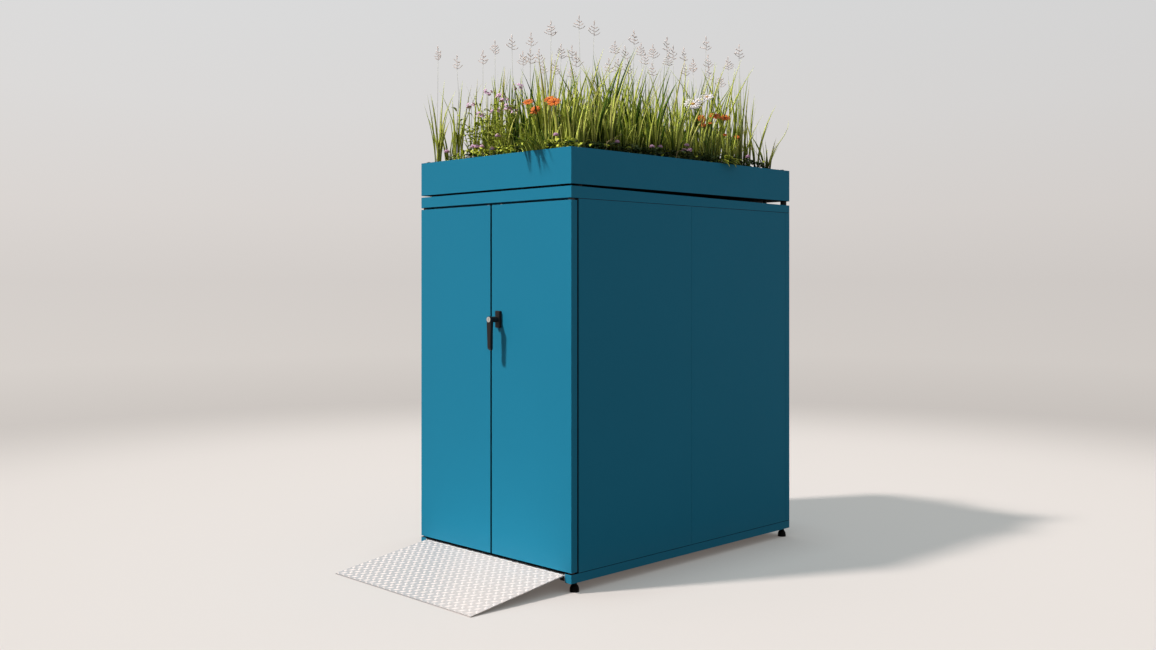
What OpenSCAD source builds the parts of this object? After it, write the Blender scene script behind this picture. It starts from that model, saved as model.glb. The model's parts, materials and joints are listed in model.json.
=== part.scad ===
// Storage box for one pushchair, with two front doors, a slide-out ramp and a planted roof tray.
// The frame stands on the ground: X to the right seen from the doors, Y to the back, Z up.
// The origin is on the ground below the middle of the box.

/* [Box] */
// Overall width across the side panels
box_w = 800; // [700:5:950]
// Overall depth from the door faces to the rear panel
box_d = 1225; // [1100:5:1500]
// Thickness of the folded sheet steel
sheet = 2; // [1.5:0.5:2.5]
// Side of the square frame tubes
tube_w = 30; // [28:1:34]
// Wall of the square frame tubes
tube_wall = 2; // [1.5:0.5:3]
// Thickness of the caps that close the base rails
cap_t = 2; // [1:0.5:4]
// Width of the hairline seams between panels
seam = 1; // [0.5:0.25:2]
// Depth of the rear panel's folded returns
rear_return = 28; // [24:1:34]
// Depth of the folded flanges where two side panels meet
splice_w = 13; // [10:1:15]

/* [Floor] */
// Thickness of the floor plate
floor_t = 3; // [2:0.5:4]
// Side of the square tubes under the floor
cross_w = 25; // [20:1:26]
// Distance from the rear rail to the rear floor crossbar
cross_rear = 330; // [250:10:450]

/* [Feet] */
// Height of a levelling foot below the base rail
foot_h = 33; // [28:1:45]
// Radius of a foot at the ground
foot_r = 16; // [13:0.5:18]
// Radius of a foot under the rail
foot_neck_r = 8.5; // [6.5:0.5:9]
// Radius of a foot's stud
stud_r = 5; // [4:0.5:6]
// Height of a stud inside the rail
stud_up = 24; // [18:1:25]
// Radius of the insert that holds a stud
insert_r = 8; // [7.5:0.25:9]
// Height of the insert
insert_h = 15; // [12:1:17]
// Distance from a side to a foot's centre
foot_side = 19; // [17:0.5:20]
// Distance from the front to the front feet
foot_front = 33; // [32:1:45]
// Distance from the back to the rear feet
foot_rear = 25; // [20:1:40]

/* [Doors] */
// Height of a door
door_h = 1218; // [1050:1:1400]
// Thickness of a door
door_t = 27; // [25:0.5:28]
// Width of the gap between the two doors
door_gap = 7; // [5:0.5:10]
// Gap between the base rails and the doors
sill_gap = 5; // [4:0.5:8]
// Gap between the doors and the roof band
head_gap = 6; // [4.5:0.5:9]
// Gap between a door's back and the posts
jamb_gap = 8; // [8:0.5:12]
// Width of the lip folded inwards round a door's back
door_lip = 12; // [8:1:16]
// Distance from a door's two outer faces to its pivot axis
pivot_in = 14; // [13:0.25:14]
// Radius of a pivot pin
pivot_r = 5; // [4:0.5:5.5]
// Depth that a pivot pin reaches into its bush
pivot_reach = 18; // [12:1:20]
// Radius of a bush
bush_r = 8; // [7.5:0.25:9]
// Radius of a bush's flange
bush_flange_r = 11; // [10.5:0.25:12]
// Depth of a bush inside the door
bush_h = 20; // [14:1:26]
// Width of a door stiffener
stiff_w = 30; // [24:1:40]
// Depth of a door stiffener
stiff_d = 20; // [14:1:22]
// Width of the sheet-steel strip that the doors close against
stop_h = 38; // [30:1:45]
// Height of the seal on the stop strip
seal_h = 14; // [10:1:18]

/* [Handle and lock] */
// Distance from the middle of the box to the handle's axis
handle_x = 44; // [34:1:60]
// Height of the handle's axis
handle_z = 887.5; // [800:0.5:1000]
// Width of the handle's plate
plate_w = 22; // [22:1:36]
// Height of the handle's plate
plate_h = 59; // [56:1:80]
// Thickness of the handle's plate
plate_t = 12; // [6:0.5:12]
// Distance that the plate's middle stands to the hinge side of the handle's axis
plate_side = 1; // [0:0.5:4]
// Width of the bevel round the plate's front
plate_bevel = 1.5; // [1:0.25:4]
// Distance from the door to the front of the grip
grip_out = 48.5; // [38:0.5:54]
// Thickness of the grip
grip_t = 11; // [10:0.5:14]
// Radius of the grip's upper end
grip_r = 10.75; // [9.5:0.25:12]
// Radius of the grip's lower end
grip_end_r = 7.5; // [7:0.25:9]
// Distance from the handle's axis to the centre of the grip's lower end
grip_reach = 100; // [80:0.5:120]
// Distance that the grip's lower end leans to the door
grip_lean = 1; // [0:0.5:8]
// Height of the slanting cut at the grip's lower end
grip_slant = 8; // [0:0.5:12]
// Side of the fillet between the neck and the grip
neck_fillet = 7; // [3:0.5:8]
// Radius of the neck between plate and grip
neck_r = 10; // [7.5:0.25:10]
// Radius of the lock's face
key_face_r = 9.5; // [8:0.25:9.5]
// Thickness of the lock's face
key_face_t = 1.5; // [1:0.25:3]
// Radius of the lock's barrel
key_barrel_r = 6; // [5:0.25:6.5]
// Length of the lock's barrel
key_barrel_h = 18; // [12:1:20]
// Radius of the spindle
spindle_r = 5; // [4:0.25:6]
// Radius of the cam
cam_r = 15; // [14.5:0.25:18]
// Thickness of the cam
cam_t = 4; // [3:0.5:5]
// Radius of the cam's drive pins
drive_pin_r = 3; // [2:0.25:3]
// Travel of the lock rods
rod_travel = 15; // [12:0.5:16]
// Radius of the lock rods and flush bolts
rod_r = 4; // [3:0.25:4]
// Distance of a rod's centre behind the door face
rod_in = 18.5; // [18:0.25:19]
// Distance that a rod's tip stands out of the door
rod_tip = 3; // [2:0.5:3.5]
// Thickness of a rod's yoke
yoke_t = 3; // [2.5:0.5:5]
// Height of a rod guide
guide_h = 15; // [10:1:20]
// Width of a rod guide
guide_w = 17; // [13:1:17]
// Distance from a door's end to its outer rod guide
guide_far = 115; // [60:5:180]
// Distance from the handle's axis to its nearer rod guides
guide_near = 90; // [50:5:150]
// Length of a flush bolt
flush_h = 165; // [150:5:220]
// Radius of the screws that hold the handle's plate
screw_r = 2.5; // [2:0.25:3]
// Distance from the handle's axis to these screws
screw_z = 23; // [21:0.5:24]

/* [Ramp] */
// Length of the ramp from its hinge to its toe
ramp_len = 406; // [340:1:409]
// Thickness of the ramp plate
ramp_t = 3; // [2:0.5:3]
// Height of the raised treads on the plate
tread_h = 1.5; // [1:0.25:1.5]
// Length of one raised tread
tread_len = 31; // [18:1:32]
// Width of one raised tread
tread_w = 16; // [5:0.5:16]
// Distance from one tread to the next across the ramp
tread_x = 34; // [32:0.5:60]
// Distance from one row of treads to the next
tread_y = 17.25; // [16:0.25:60]
// Distance behind the door faces of the ramp's hinge axis
ramp_in = 6.5; // [6.5:0.25:8]
// Height of the ramp's hinge axis
ramp_z = 52; // [50:0.5:52]
// Radius of the ramp's hinge pin
ramp_pin_r = 4; // [3:0.25:4]
// Outer radius of the hinge knuckles
knuckle_r = 5.5; // [5:0.25:5.5]
// Width of one hinge knuckle
knuckle_w = 40; // [25:1:60]
// Length of the hinge leaf under the ramp plate
leaf_len = 60; // [40:1:90]
// Thickness of the hinge leaf
leaf_t = 2; // [1.5:0.25:2.25]
// Thickness of the guide rails' sheet
guide_t = 1.5; // [1:0.25:2]
// Width of the guide rails' lower flange
guide_flange = 15; // [12:1:24]
// Height of the guide rails' underside
guide_z = 36; // [35:0.5:37]
// Distance that the ramp slides in
ramp_travel = 396; // [330:1:398]
// Depth of the carriage's bar
bar_d = 20; // [14:1:26]
// Length of a carriage block
block_len = 42; // [36:1:55]
// Width of a carriage block
block_w = 22; // [18:1:30]

/* [Roof] */
// Height of the roof band at the front
band_h = 40; // [36:1:60]
// Fall of the roof from front to back
roof_fall = 10.5; // [4:0.5:11]
// Height of the packing between the rails and the roof's lowest end
pack_h = 3; // [2:0.5:4]

/* [Planter tray] */
// Gap between the roof's front and the tray
tray_gap = 6; // [4:0.5:12]
// Height of the tray
tray_h = 122; // [100:1:160]
// Width of the rim folded inwards
rim_w = 15; // [10:1:20]
// Radius of the spacers under the tray
spacer_r = 12; // [10:0.5:13]
// Radius of the bolts that hold the tray
bolt_r = 4; // [3:0.5:5]
// Thickness of the drainage mat
mat_t = 10; // [8:1:20]
// Depth from the rim to the top of the soil
soil_down = 20; // [10:1:30]
// Outer radius of a drain spout
spout_r = 8; // [6:0.5:9]
// Wall of a drain spout
spout_wall = 2; // [1:0.25:2.5]
// Length of a drain spout below the tray
spout_h = 8; // [4:0.5:8]
// Distance from the tray's side to a drain spout
spout_side = 70; // [50:5:150]

/* [Plants] */
// Height of the tallest seed head above the rim
seed_top = 530; // [450:5:600]
// Height of the grass above the soil
grass_h = 380; // [250:5:420]
// Number of grass tufts across the tray
tufts_x = 5; // [3:1:7]
// Number of grass tufts along the tray
tufts_y = 8; // [5:1:10]
// Blades in one tuft
blades = 5; // [4:1:6]
// Distance that a blade leans out at its tip
blade_lean = 75; // [50:5:85]
// Width of a blade at its root
blade_w = 9; // [6:0.5:12]
// Seed heads across the tray
seeds_x = 4; // [3:1:6]
// Seed heads along the tray
seeds_y = 7; // [4:1:9]
// Height of a seed head
seed_h = 46; // [35:1:60]
// Radius of a seed head
seed_r = 13; // [8:0.5:18]
// Number of flowers
flowers = 14; // [8:1:20]
// Height of a flower above the soil
flower_h = 190; // [120:5:240]
// Radius of a flower
flower_r = 15; // [10:0.5:20]
// Height of the ground cover above the soil
cover_h = 38; // [25:1:45]
// Distance between the bumps of the ground cover
cover_step = 62; // [50:1:90]

/* [Hidden] */
$fn = 48;
steel_blue = [0.16, 0.51, 0.62];
dark_steel = [0.13, 0.13, 0.14];
zinc = [0.72, 0.73, 0.74];
bright_alloy = [0.85, 0.84, 0.83];
rubber_black = [0.06, 0.06, 0.06];

// Clearances: a running fit, a seat that holds still, a face that turns or slides on another
run = 0.05;
seat = 0.05;
slip = 0.2;
loose = 0.3;

half_w = box_w / 2;
front_y = -box_d / 2;
rear_y = box_d / 2;
rail_z = foot_h;
rail_top = rail_z + tube_w;
rail_in = half_w - tube_w;
floor_z = rail_top - floor_t;
door_z0 = rail_top + sill_gap;
door_z1 = door_z0 + door_h;
band_z = door_z1 + head_gap;
roof_z = band_z + band_h;
roof_rear_z = roof_z - roof_fall;
tray_z = roof_z + tray_gap;
rim_z = tray_z + tray_h;
soil_z = rim_z - soil_down;
door_back = front_y + door_t;
frame_y = door_back + jamb_gap;
post_in = half_w - sheet - tube_w;
post_x = half_w - sheet - tube_w / 2;
skin_in = half_w - sheet;
top_rail_z1 = roof_rear_z - sheet - pack_h;
top_rail_z = top_rail_z1 - tube_w;
panel_z0 = rail_top + seam;
panel_z1 = band_z - seam;
rear_post_y = rear_y - sheet - tube_w;
panel_rear_y = rear_y - rear_return;
header_back = front_y + sheet + tube_w;
door_in = door_gap / 2;
pivot_x = half_w - pivot_in;
pivot_y = front_y + pivot_in;
foot_x = half_w - foot_side;
feet_y = [front_y + foot_front, rear_y - foot_rear];
ramp_hinge_y = front_y + ramp_in;
plate_up = floor_z - loose - tread_h - ramp_t - ramp_z;
ramp_half = rail_in - guide_t - 2 * (run + loose);
ramp_tilt = asin(ramp_z / norm([ramp_len, plate_up])) + atan(plate_up / ramp_len);
guide_end = front_y + ramp_travel + block_len + 9;
cross_front_y = guide_end;
spacer_y = [frame_y + tube_w / 2, rear_post_y + tube_w / 2];
rod_y = front_y + rod_in;
drive_r = rod_travel / sqrt(2);
drive_in = rod_travel / 2;
yoke_y = rod_y - yoke_t / 2;
cam_y = rod_y - rod_r - 2 * loose - cam_t;
yoke_play = 0.5;
rod_side = 9;

// Height of the roof's upper face at a depth y
function roof_at(y) = roof_z - roof_fall * (y - front_y) / box_d;

// A block between two corners
module block(low, high) {
    translate(low) cube(high - low);
}

// A square tube between two corners, open at both ends along one axis
module square_tube(low, high, along, wall = tube_wall) {
    inset = [for (i = [0:2]) i == along ? -1 : wall];
    difference() {
        block(low, high);
        block(low + inset, high - inset);
    }
}

// The same shape on the right side, or mirrored to the left
module on_side(side) {
    if (side > 0) children();
    else mirror([1, 0, 0]) children();
}

// An outline in Y and Z, drawn out along X
module across(x0, x1) {
    translate([x0, 0, 0]) rotate([90, 0, 90]) linear_extrude(x1 - x0) children();
}

// A cylinder from one depth to another, along Y
module rod_along_y(r, x, y0, y1, z) {
    translate([x, y1, z]) rotate([90, 0, 0]) cylinder(r = r, h = y1 - y0);
}

// A cylinder from one side to the other, along X
module rod_along_x(r, x0, x1, y, z) {
    translate([x0, y, z]) rotate([0, 90, 0]) cylinder(r = r, h = x1 - x0);
}

module rounded_rectangle(w, h, r) {
    square([w - 2 * r, h], center = true);
    square([w, h - 2 * r], center = true);
    for (sx = [-1, 1], sy = [-1, 1])
        translate([sx * (w / 2 - r), sy * (h / 2 - r)]) circle(r);
}

module base_rail(side) {
    color(steel_blue) on_side(side) difference() {
        square_tube([rail_in, front_y + cap_t, rail_z], [half_w, rear_y - cap_t, rail_top], 1);
        translate([pivot_x, pivot_y, rail_top - tube_wall - 1])
            cylinder(r = pivot_r + seat, h = tube_wall + 2);
        for (y = feet_y)
            translate([foot_x, y, rail_z - 1]) cylinder(r = insert_r + seat, h = tube_wall + 2);
    }
}

module base_rail_left() { base_rail(-1); }

module base_rail_right() { base_rail(1); }

module base_rail_rear() {
    color(steel_blue)
        square_tube([-rail_in, rear_y - tube_w, rail_z], [rail_in, rear_y, rail_top], 0);
}

module floor_crossbars() {
    rear_bar = rear_y - tube_w - cross_rear;
    color(dark_steel) for (y = [cross_front_y, rear_bar])
        square_tube([-rail_in, y, floor_z - cross_w], [rail_in, y + cross_w, floor_z], 0);
}

module rail_end_caps() {
    color(steel_blue) for (side = [-1, 1], y = [front_y, rear_y - cap_t])
        on_side(side) block([rail_in, y, rail_z], [half_w, y + cap_t, rail_top]);
}

// The keeper holes for the rods and bolts are drilled through the floor's front edge
module floor_plate() {
    color(zinc) difference() {
        block([-rail_in, front_y, floor_z], [rail_in, rear_y - tube_w, rail_top]);
        for (x = [handle_x + rod_side, -handle_x + rod_side])
            translate([x, rod_y, floor_z - 1]) cylinder(r = rod_r + 2, h = floor_t + 2);
    }
}

module foot_inserts() {
    color(zinc) for (side = [-1, 1], y = feet_y)
        on_side(side) translate([foot_x, y, rail_z]) difference() {
            union() {
                cylinder(r = insert_r, h = insert_h);
                translate([0, 0, tube_wall]) cylinder(r = insert_r + 1, h = 2);
            }
            translate([0, 0, -1]) cylinder(r = stud_r + run, h = insert_h + 2);
        }
}

// Shares of the bell's flare and height along its outline, from the rim up to the neck
bell = [[0.03, 0.14], [0.07, 0.24], [0.13, 0.33], [0.24, 0.42], [0.36, 0.49], [0.49, 0.55],
    [0.65, 0.61], [0.83, 0.66], [0.95, 0.72], [1, 0.78]];

// A bell-shaped foot with a flat rim, moulded round the end of its threaded stud
module levelling_foot(side, y) {
    rim_h = 4;
    flare = foot_r - foot_neck_r;
    bell_h = foot_h - loose - rim_h;
    on_side(side) translate([foot_x, y, 0]) {
        color(rubber_black) rotate_extrude() polygon(concat([[0, 0], [foot_r, 0], [foot_r, rim_h]],
            [for (p = bell) [foot_r - flare * p[0], rim_h + bell_h * p[1]]],
            [[foot_neck_r, foot_h - loose], [0, foot_h - loose]]));
        color(zinc) translate([0, 0, foot_h - 1]) cylinder(r = stud_r, h = stud_up + 1);
    }
}

module foot_front_left() { levelling_foot(-1, feet_y[0]); }

module foot_front_right() { levelling_foot(1, feet_y[0]); }

module foot_rear_left() { levelling_foot(-1, feet_y[1]); }

module foot_rear_right() { levelling_foot(1, feet_y[1]); }

module posts(side) {
    color(dark_steel) on_side(side) for (y = [frame_y, rear_post_y])
        square_tube([post_in, y, rail_top], [skin_in, y + tube_w, top_rail_z], 2);
}

module posts_left() { posts(-1); }

module posts_right() { posts(1); }

module header_rail() {
    color(steel_blue) difference() {
        square_tube([-skin_in, front_y + sheet, band_z], [skin_in, header_back, band_z + tube_w], 0);
        for (side = [-1, 1])
            translate([side * pivot_x, pivot_y, band_z - 1])
                cylinder(r = pivot_r + seat, h = tube_wall + 2);
        for (x = [handle_x - rod_side, -handle_x + rod_side])
            translate([x, rod_y, band_z - 1]) cylinder(r = rod_r + 2, h = tube_wall + 2);
    }
}

module top_rail(side) {
    color(dark_steel) on_side(side) difference() {
        square_tube([post_in, header_back, top_rail_z], [skin_in, rear_y - sheet, top_rail_z1], 1);
        for (y = spacer_y)
            translate([post_x, y, top_rail_z1 - tube_wall - 1])
                cylinder(r = bolt_r + seat, h = tube_wall + 2);
    }
}

module top_rail_left() { top_rail(-1); }

module top_rail_right() { top_rail(1); }

module roof_crossbars() {
    color(dark_steel) for (y = [-tube_w / 2, rear_post_y])
        square_tube([-post_in, y, top_rail_z], [post_in, y + tube_w, top_rail_z1], 0);
}

// A flat side panel whose inner edge at mid depth is folded inwards to meet its neighbour
module side_panel(side, y0, y1, fold_y) {
    color(steel_blue) on_side(side) {
        block([skin_in, y0, panel_z0], [half_w, y1, panel_z1]);
        block([skin_in - splice_w, fold_y, panel_z0 + door_lip], [half_w, fold_y + sheet, top_rail_z - seam]);
    }
}

module side_panel_left_front() { side_panel(-1, frame_y, -seam / 2, -seam / 2 - sheet); }

module side_panel_left_rear() { side_panel(-1, seam / 2, panel_rear_y, seam / 2); }

module side_panel_right_front() { side_panel(1, frame_y, -seam / 2, -seam / 2 - sheet); }

module side_panel_right_rear() { side_panel(1, seam / 2, panel_rear_y, seam / 2); }

module rear_panel() {
    color(steel_blue) difference() {
        block([-half_w, panel_rear_y + seam, panel_z0], [half_w, rear_y, panel_z1]);
        block([-skin_in, panel_rear_y, panel_z0 - seam], [skin_in, rear_y - sheet, panel_z1 + seam]);
    }
}

// One sheet folded down on all four sides, falling to the back
module roof_cap() {
    color(steel_blue) difference() {
        across(-half_w, half_w)
            polygon([[front_y, band_z], [front_y, roof_z], [rear_y, roof_rear_z], [rear_y, band_z]]);
        across(-skin_in, skin_in)
            polygon([[front_y + sheet, band_z - seam], [front_y + sheet, roof_at(front_y + sheet) - sheet],
                [rear_y - sheet, roof_at(rear_y - sheet) - sheet], [rear_y - sheet, band_z - seam]]);
        for (side = [-1, 1], y = spacer_y)
            translate([side * post_x, y, roof_rear_z - tube_w])
                cylinder(r = bolt_r + loose, h = 2 * tube_w);
    }
}

module roof_packers() {
    color(rubber_black) for (side = [-1, 1], y = spacer_y) difference() {
        intersection() {
            translate([side * post_x, y, top_rail_z1]) cylinder(r = spacer_r, h = tube_w);
            across(-half_w, half_w)
                polygon([[front_y, top_rail_z], [front_y, roof_z - sheet],
                    [rear_y, roof_rear_z - sheet], [rear_y, top_rail_z]]);
        }
        translate([side * post_x, y, top_rail_z]) cylinder(r = bolt_r + loose, h = 2 * tube_w);
    }
}

// A strip behind the tops of the doors, welded to the header
module door_stop() {
    color(dark_steel)
        block([-post_in + 8, header_back, band_z + 8 - stop_h],
            [post_in - 8, header_back + sheet, band_z + 8]);
}

module door_seal() {
    low = band_z + 8 - stop_h + sheet;
    color(rubber_black)
        block([-post_in + 10, door_back + slip, low], [post_in - 10, header_back, low + seal_h]);
}

// Four headed pins: the lower two stand on the base rails and the upper two hang from the header
module pivot_pins() {
    head = 4;
    color(zinc) for (side = [-1, 1]) {
        translate([side * pivot_x, pivot_y, rail_top - tube_wall - head]) {
            cylinder(r = pivot_r + 3, h = head);
            cylinder(r = pivot_r, h = head + tube_wall + sill_gap + pivot_reach);
        }
        translate([side * pivot_x, pivot_y, band_z + tube_wall]) {
            cylinder(r = pivot_r + 3, h = head);
            translate([0, 0, -tube_wall - head_gap - pivot_reach])
                cylinder(r = pivot_r, h = head + tube_wall + head_gap + pivot_reach);
        }
    }
}

// A folded door tray: face, four returns and a lip round the open back
module door_tray() {
    wall = [sheet, sheet, sheet];
    lip = [sheet + door_lip, sheet, sheet + door_lip];
    low = [door_in, front_y, door_z0];
    high = [half_w, door_back, door_z1];
    difference() {
        block(low, high);
        block(low + wall, high - wall);
        block(low + lip, high - lip + [0, 2 * sheet, 0]);
        for (z = [door_z0, door_z1 - sheet])
            translate([pivot_x, pivot_y, z - 1]) cylinder(r = bush_r + seat, h = sheet + 2);
    }
}

module door_left() {
    color(steel_blue) difference() {
        on_side(-1) door_tray();
        translate([-handle_x + rod_side, rod_y, door_z0 - 1]) cylinder(r = rod_r + loose, h = sheet + 2);
        translate([-handle_x + rod_side, rod_y, door_z1 - sheet - 1])
            cylinder(r = rod_r + loose, h = sheet + 2);
    }
}

module door_right() {
    color(steel_blue) difference() {
        door_tray();
        translate([handle_x + rod_side, rod_y, door_z0 - 1]) cylinder(r = rod_r + loose, h = sheet + 2);
        translate([handle_x - rod_side, rod_y, door_z1 - sheet - 1])
            cylinder(r = rod_r + loose, h = sheet + 2);
        rod_along_y(spindle_r + loose, handle_x, front_y - 1, front_y + sheet + 1, handle_z);
        for (dz = [-screw_z, screw_z])
            rod_along_y(screw_r + loose, handle_x, front_y - 1, front_y + sheet + 1, handle_z + dz);
    }
}

// Flanged bushes in a door's top and bottom returns; the lower flange carries the door
module door_bushes(side) {
    color(rubber_black) on_side(side) translate([pivot_x, pivot_y, 0]) {
        translate([0, 0, rail_top + slip]) difference() {
            union() {
                cylinder(r = bush_flange_r, h = sill_gap - slip);
                cylinder(r = bush_r, h = sill_gap - slip + bush_h);
            }
            translate([0, 0, -1]) cylinder(r = pivot_r + run, h = sill_gap + bush_h + 2);
        }
        translate([0, 0, door_z1 - bush_h]) difference() {
            union() {
                translate([0, 0, bush_h]) cylinder(r = bush_flange_r, h = head_gap - slip);
                cylinder(r = bush_r, h = bush_h + head_gap - slip);
            }
            translate([0, 0, -1]) cylinder(r = pivot_r + run, h = head_gap + bush_h + 2);
        }
    }
}

module door_bushes_left() { door_bushes(-1); }

module door_bushes_right() { door_bushes(1); }

// Two upright channels on the inside of a door's face
module stiffeners(side) {
    door_w = half_w - door_in;
    back = front_y + sheet + stiff_d;
    color(steel_blue) on_side(side) for (share = [0.38, 0.7]) {
        x = door_in + share * door_w;
        difference() {
            block([x, front_y + sheet, door_z0 + sheet], [x + stiff_w, back, door_z1 - sheet]);
            block([x + sheet, front_y, door_z0], [x + stiff_w - sheet, back - sheet, door_z1]);
        }
    }
}

module stiffeners_left() { stiffeners(-1); }

module stiffeners_right() { stiffeners(1); }

// A backplate whose front edge is bevelled all round
module handle_plate() {
    color(dark_steel) difference() {
        translate([handle_x + plate_side, front_y, handle_z]) rotate([90, 0, 0]) hull() {
            linear_extrude(plate_t - plate_bevel) rounded_rectangle(plate_w, plate_h, 4);
            linear_extrude(plate_t)
                rounded_rectangle(plate_w - 2 * plate_bevel, plate_h - 2 * plate_bevel, 3);
        }
        rod_along_y(spindle_r + run, handle_x, front_y - plate_t - 1, front_y + 1, handle_z);
        for (dz = [-screw_z, screw_z])
            rod_along_y(screw_r + seat, handle_x, front_y - plate_t / 2, front_y + 1, handle_z + dz);
    }
}

// Two screws from inside the door into the handle's plate
module handle_screws() {
    color(zinc) for (dz = [-screw_z, screw_z]) {
        rod_along_y(screw_r, handle_x, front_y - plate_t / 2, front_y + sheet + 1, handle_z + dz);
        rod_along_y(screw_r + 2, handle_x, front_y + sheet, front_y + sheet + 3, handle_z + dz);
    }
}

// A hanging grip on a round neck: the front outline and the side outline are cut from each other
module handle_lever() {
    face_y = front_y - grip_out;
    back_y = face_y + grip_t;
    knee = -0.62 * grip_reach;
    tip_z = -grip_reach - grip_end_r;
    color(dark_steel) difference() {
        union() {
            rod_along_y(neck_r, handle_x, back_y - 1, front_y - plate_t - slip, handle_z);
            translate([0, 0, handle_z]) across(handle_x - 0.6 * neck_r, handle_x + 0.6 * neck_r)
                polygon([[back_y - 1, 0], [back_y + neck_fillet, 0], [back_y + neck_fillet, -0.8 * neck_r],
                    [back_y + 0.3 * neck_fillet, -0.8 * neck_r - 0.3 * neck_fillet],
                    [back_y, -0.8 * neck_r - neck_fillet], [back_y - 1, -0.8 * neck_r - neck_fillet]]);
            intersection() {
                translate([handle_x, front_y, handle_z]) rotate([90, 0, 0]) linear_extrude(grip_out + 1) {
                    circle(grip_r);
                    polygon([[-grip_r, 0], [grip_r, 0],
                        [grip_end_r, -grip_reach], [-grip_end_r, -grip_reach]]);
                    translate([0, -grip_reach]) circle(grip_end_r);
                }
                translate([0, 0, handle_z]) across(handle_x - 2 * grip_r, handle_x + 2 * grip_r)
                    polygon([[face_y, grip_r + 1], [back_y, grip_r + 1], [back_y, knee],
                        [back_y + grip_lean * 0.45, -grip_reach * 0.85], [back_y + grip_lean, tip_z - 1],
                        [face_y + grip_lean + grip_t / 2, tip_z + grip_slant / 4],
                        [face_y + grip_lean, tip_z + grip_slant],
                        [face_y + grip_lean * 0.45, -grip_reach * 0.85], [face_y, knee]]);
            }
        }
        rod_along_y(key_barrel_r + run, handle_x, face_y - 1, face_y + key_barrel_h + slip, handle_z);
        rod_along_y(spindle_r + seat, handle_x, face_y + key_barrel_h + 2, front_y, handle_z);
    }
}

module handle_spindle() {
    start_y = front_y - grip_out + key_barrel_h + 2 + slip;
    color(zinc) rod_along_y(spindle_r, handle_x, start_y, cam_y + cam_t, handle_z);
}

// A disc on the spindle with one drive pin for each rod
module lock_cam() {
    color(zinc) difference() {
        union() {
            rod_along_y(cam_r, handle_x, cam_y, cam_y + cam_t, handle_z);
            for (s = [-1, 1])
                rod_along_y(drive_pin_r, handle_x + s * drive_in, cam_y + 1,
                    yoke_y + yoke_t, handle_z - s * drive_in);
        }
        rod_along_y(spindle_r + seat, handle_x, cam_y - 1, cam_y + cam_t + 1, handle_z);
    }
}

module key_plug() {
    face_y = front_y - grip_out;
    color(bright_alloy) difference() {
        union() {
            rod_along_y(key_face_r, handle_x, face_y - slip - key_face_t, face_y - slip, handle_z);
            rod_along_y(key_barrel_r, handle_x, face_y - 1, face_y + key_barrel_h, handle_z);
        }
        block([handle_x - 0.9, face_y - key_face_t - 1, handle_z - 4],
            [handle_x + 0.9, face_y + 6, handle_z + 4]);
    }
}

// The rod's yoke: a plate with a level slot that the drive pin slides along
module rod_yoke(s) {
    slot_r = drive_pin_r + yoke_play;
    x0 = s > 0 ? drive_in - slot_r : -drive_r - slot_r;
    x1 = s > 0 ? drive_r + slot_r : -drive_in + slot_r;
    z0 = s > 0 ? -drive_in - slot_r - 8 : drive_in - slot_r - 4;
    z1 = s > 0 ? -drive_in + slot_r + 4 : drive_in + slot_r + 8;
    difference() {
        block([handle_x + x0 - 3, yoke_y, handle_z + z0],
            [handle_x + x1 + 3, yoke_y + yoke_t, handle_z + z1]);
        block([handle_x + x0, yoke_y - 1, handle_z - s * drive_in - slot_r],
            [handle_x + x1, yoke_y + yoke_t + 1, handle_z - s * drive_in + slot_r]);
    }
}

module lock_rod_upper() {
    foot = handle_z + drive_in + drive_pin_r + yoke_play + 2;
    color(zinc) {
        rod_yoke(-1);
        translate([handle_x - rod_side, rod_y, foot]) cylinder(r = rod_r, h = door_z1 + rod_tip - foot);
    }
}

module lock_rod_lower() {
    foot = door_z0 - rod_tip;
    top = handle_z - drive_in - drive_pin_r - yoke_play - 2;
    color(zinc) {
        rod_yoke(1);
        translate([handle_x + rod_side, rod_y, foot]) cylinder(r = rod_r, h = top - foot);
    }
}

// A block on the inside of a door's face, bored for a rod
module rod_guide(x, z) {
    difference() {
        block([x - guide_w / 2, front_y + sheet, z], [x + guide_w / 2, rod_y + rod_r + 2, z + guide_h]);
        translate([x, rod_y, z - 1]) cylinder(r = rod_r + run, h = guide_h + 2);
    }
}

module lock_rod_guides() {
    color(dark_steel) {
        for (z = [door_z1 - guide_far - guide_h, handle_z + guide_near]) rod_guide(handle_x - rod_side, z);
        for (z = [door_z0 + guide_far, handle_z - guide_near - guide_h]) rod_guide(handle_x + rod_side, z);
    }
}

// Distances from a flush bolt's tip to its two guides and its knob
flush_near = 30;
flush_far = 120;
flush_knob = 95;

module flush_bolt_upper() {
    tip = door_z1 + rod_tip;
    x = -handle_x + rod_side;
    color(zinc) {
        translate([x, rod_y, tip - flush_h]) cylinder(r = rod_r, h = flush_h);
        rod_along_y(rod_r - 1, x, rod_y, door_back - 1, tip - flush_knob);
    }
}

module flush_bolt_lower() {
    tip = door_z0 - rod_tip;
    x = -handle_x + rod_side;
    color(zinc) {
        translate([x, rod_y, tip]) cylinder(r = rod_r, h = flush_h);
        rod_along_y(rod_r - 1, x, rod_y, door_back - 1, tip + flush_knob);
    }
}

module flush_bolt_guides() {
    x = -handle_x + rod_side;
    color(dark_steel) for (down = [flush_near, flush_far]) {
        rod_guide(x, door_z1 + rod_tip - down - guide_h);
        rod_guide(x, door_z0 - rod_tip + down);
    }
}

// An angle along the base rail that carries the sliding ramp
module ramp_guide(side) {
    color(zinc) on_side(side) {
        block([rail_in - guide_t, front_y, guide_z], [rail_in, guide_end, floor_z]);
        block([rail_in - guide_flange, front_y, guide_z], [rail_in, guide_end, guide_z + guide_t]);
    }
}

module ramp_guide_left() { ramp_guide(-1); }

module ramp_guide_right() { ramp_guide(1); }

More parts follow.
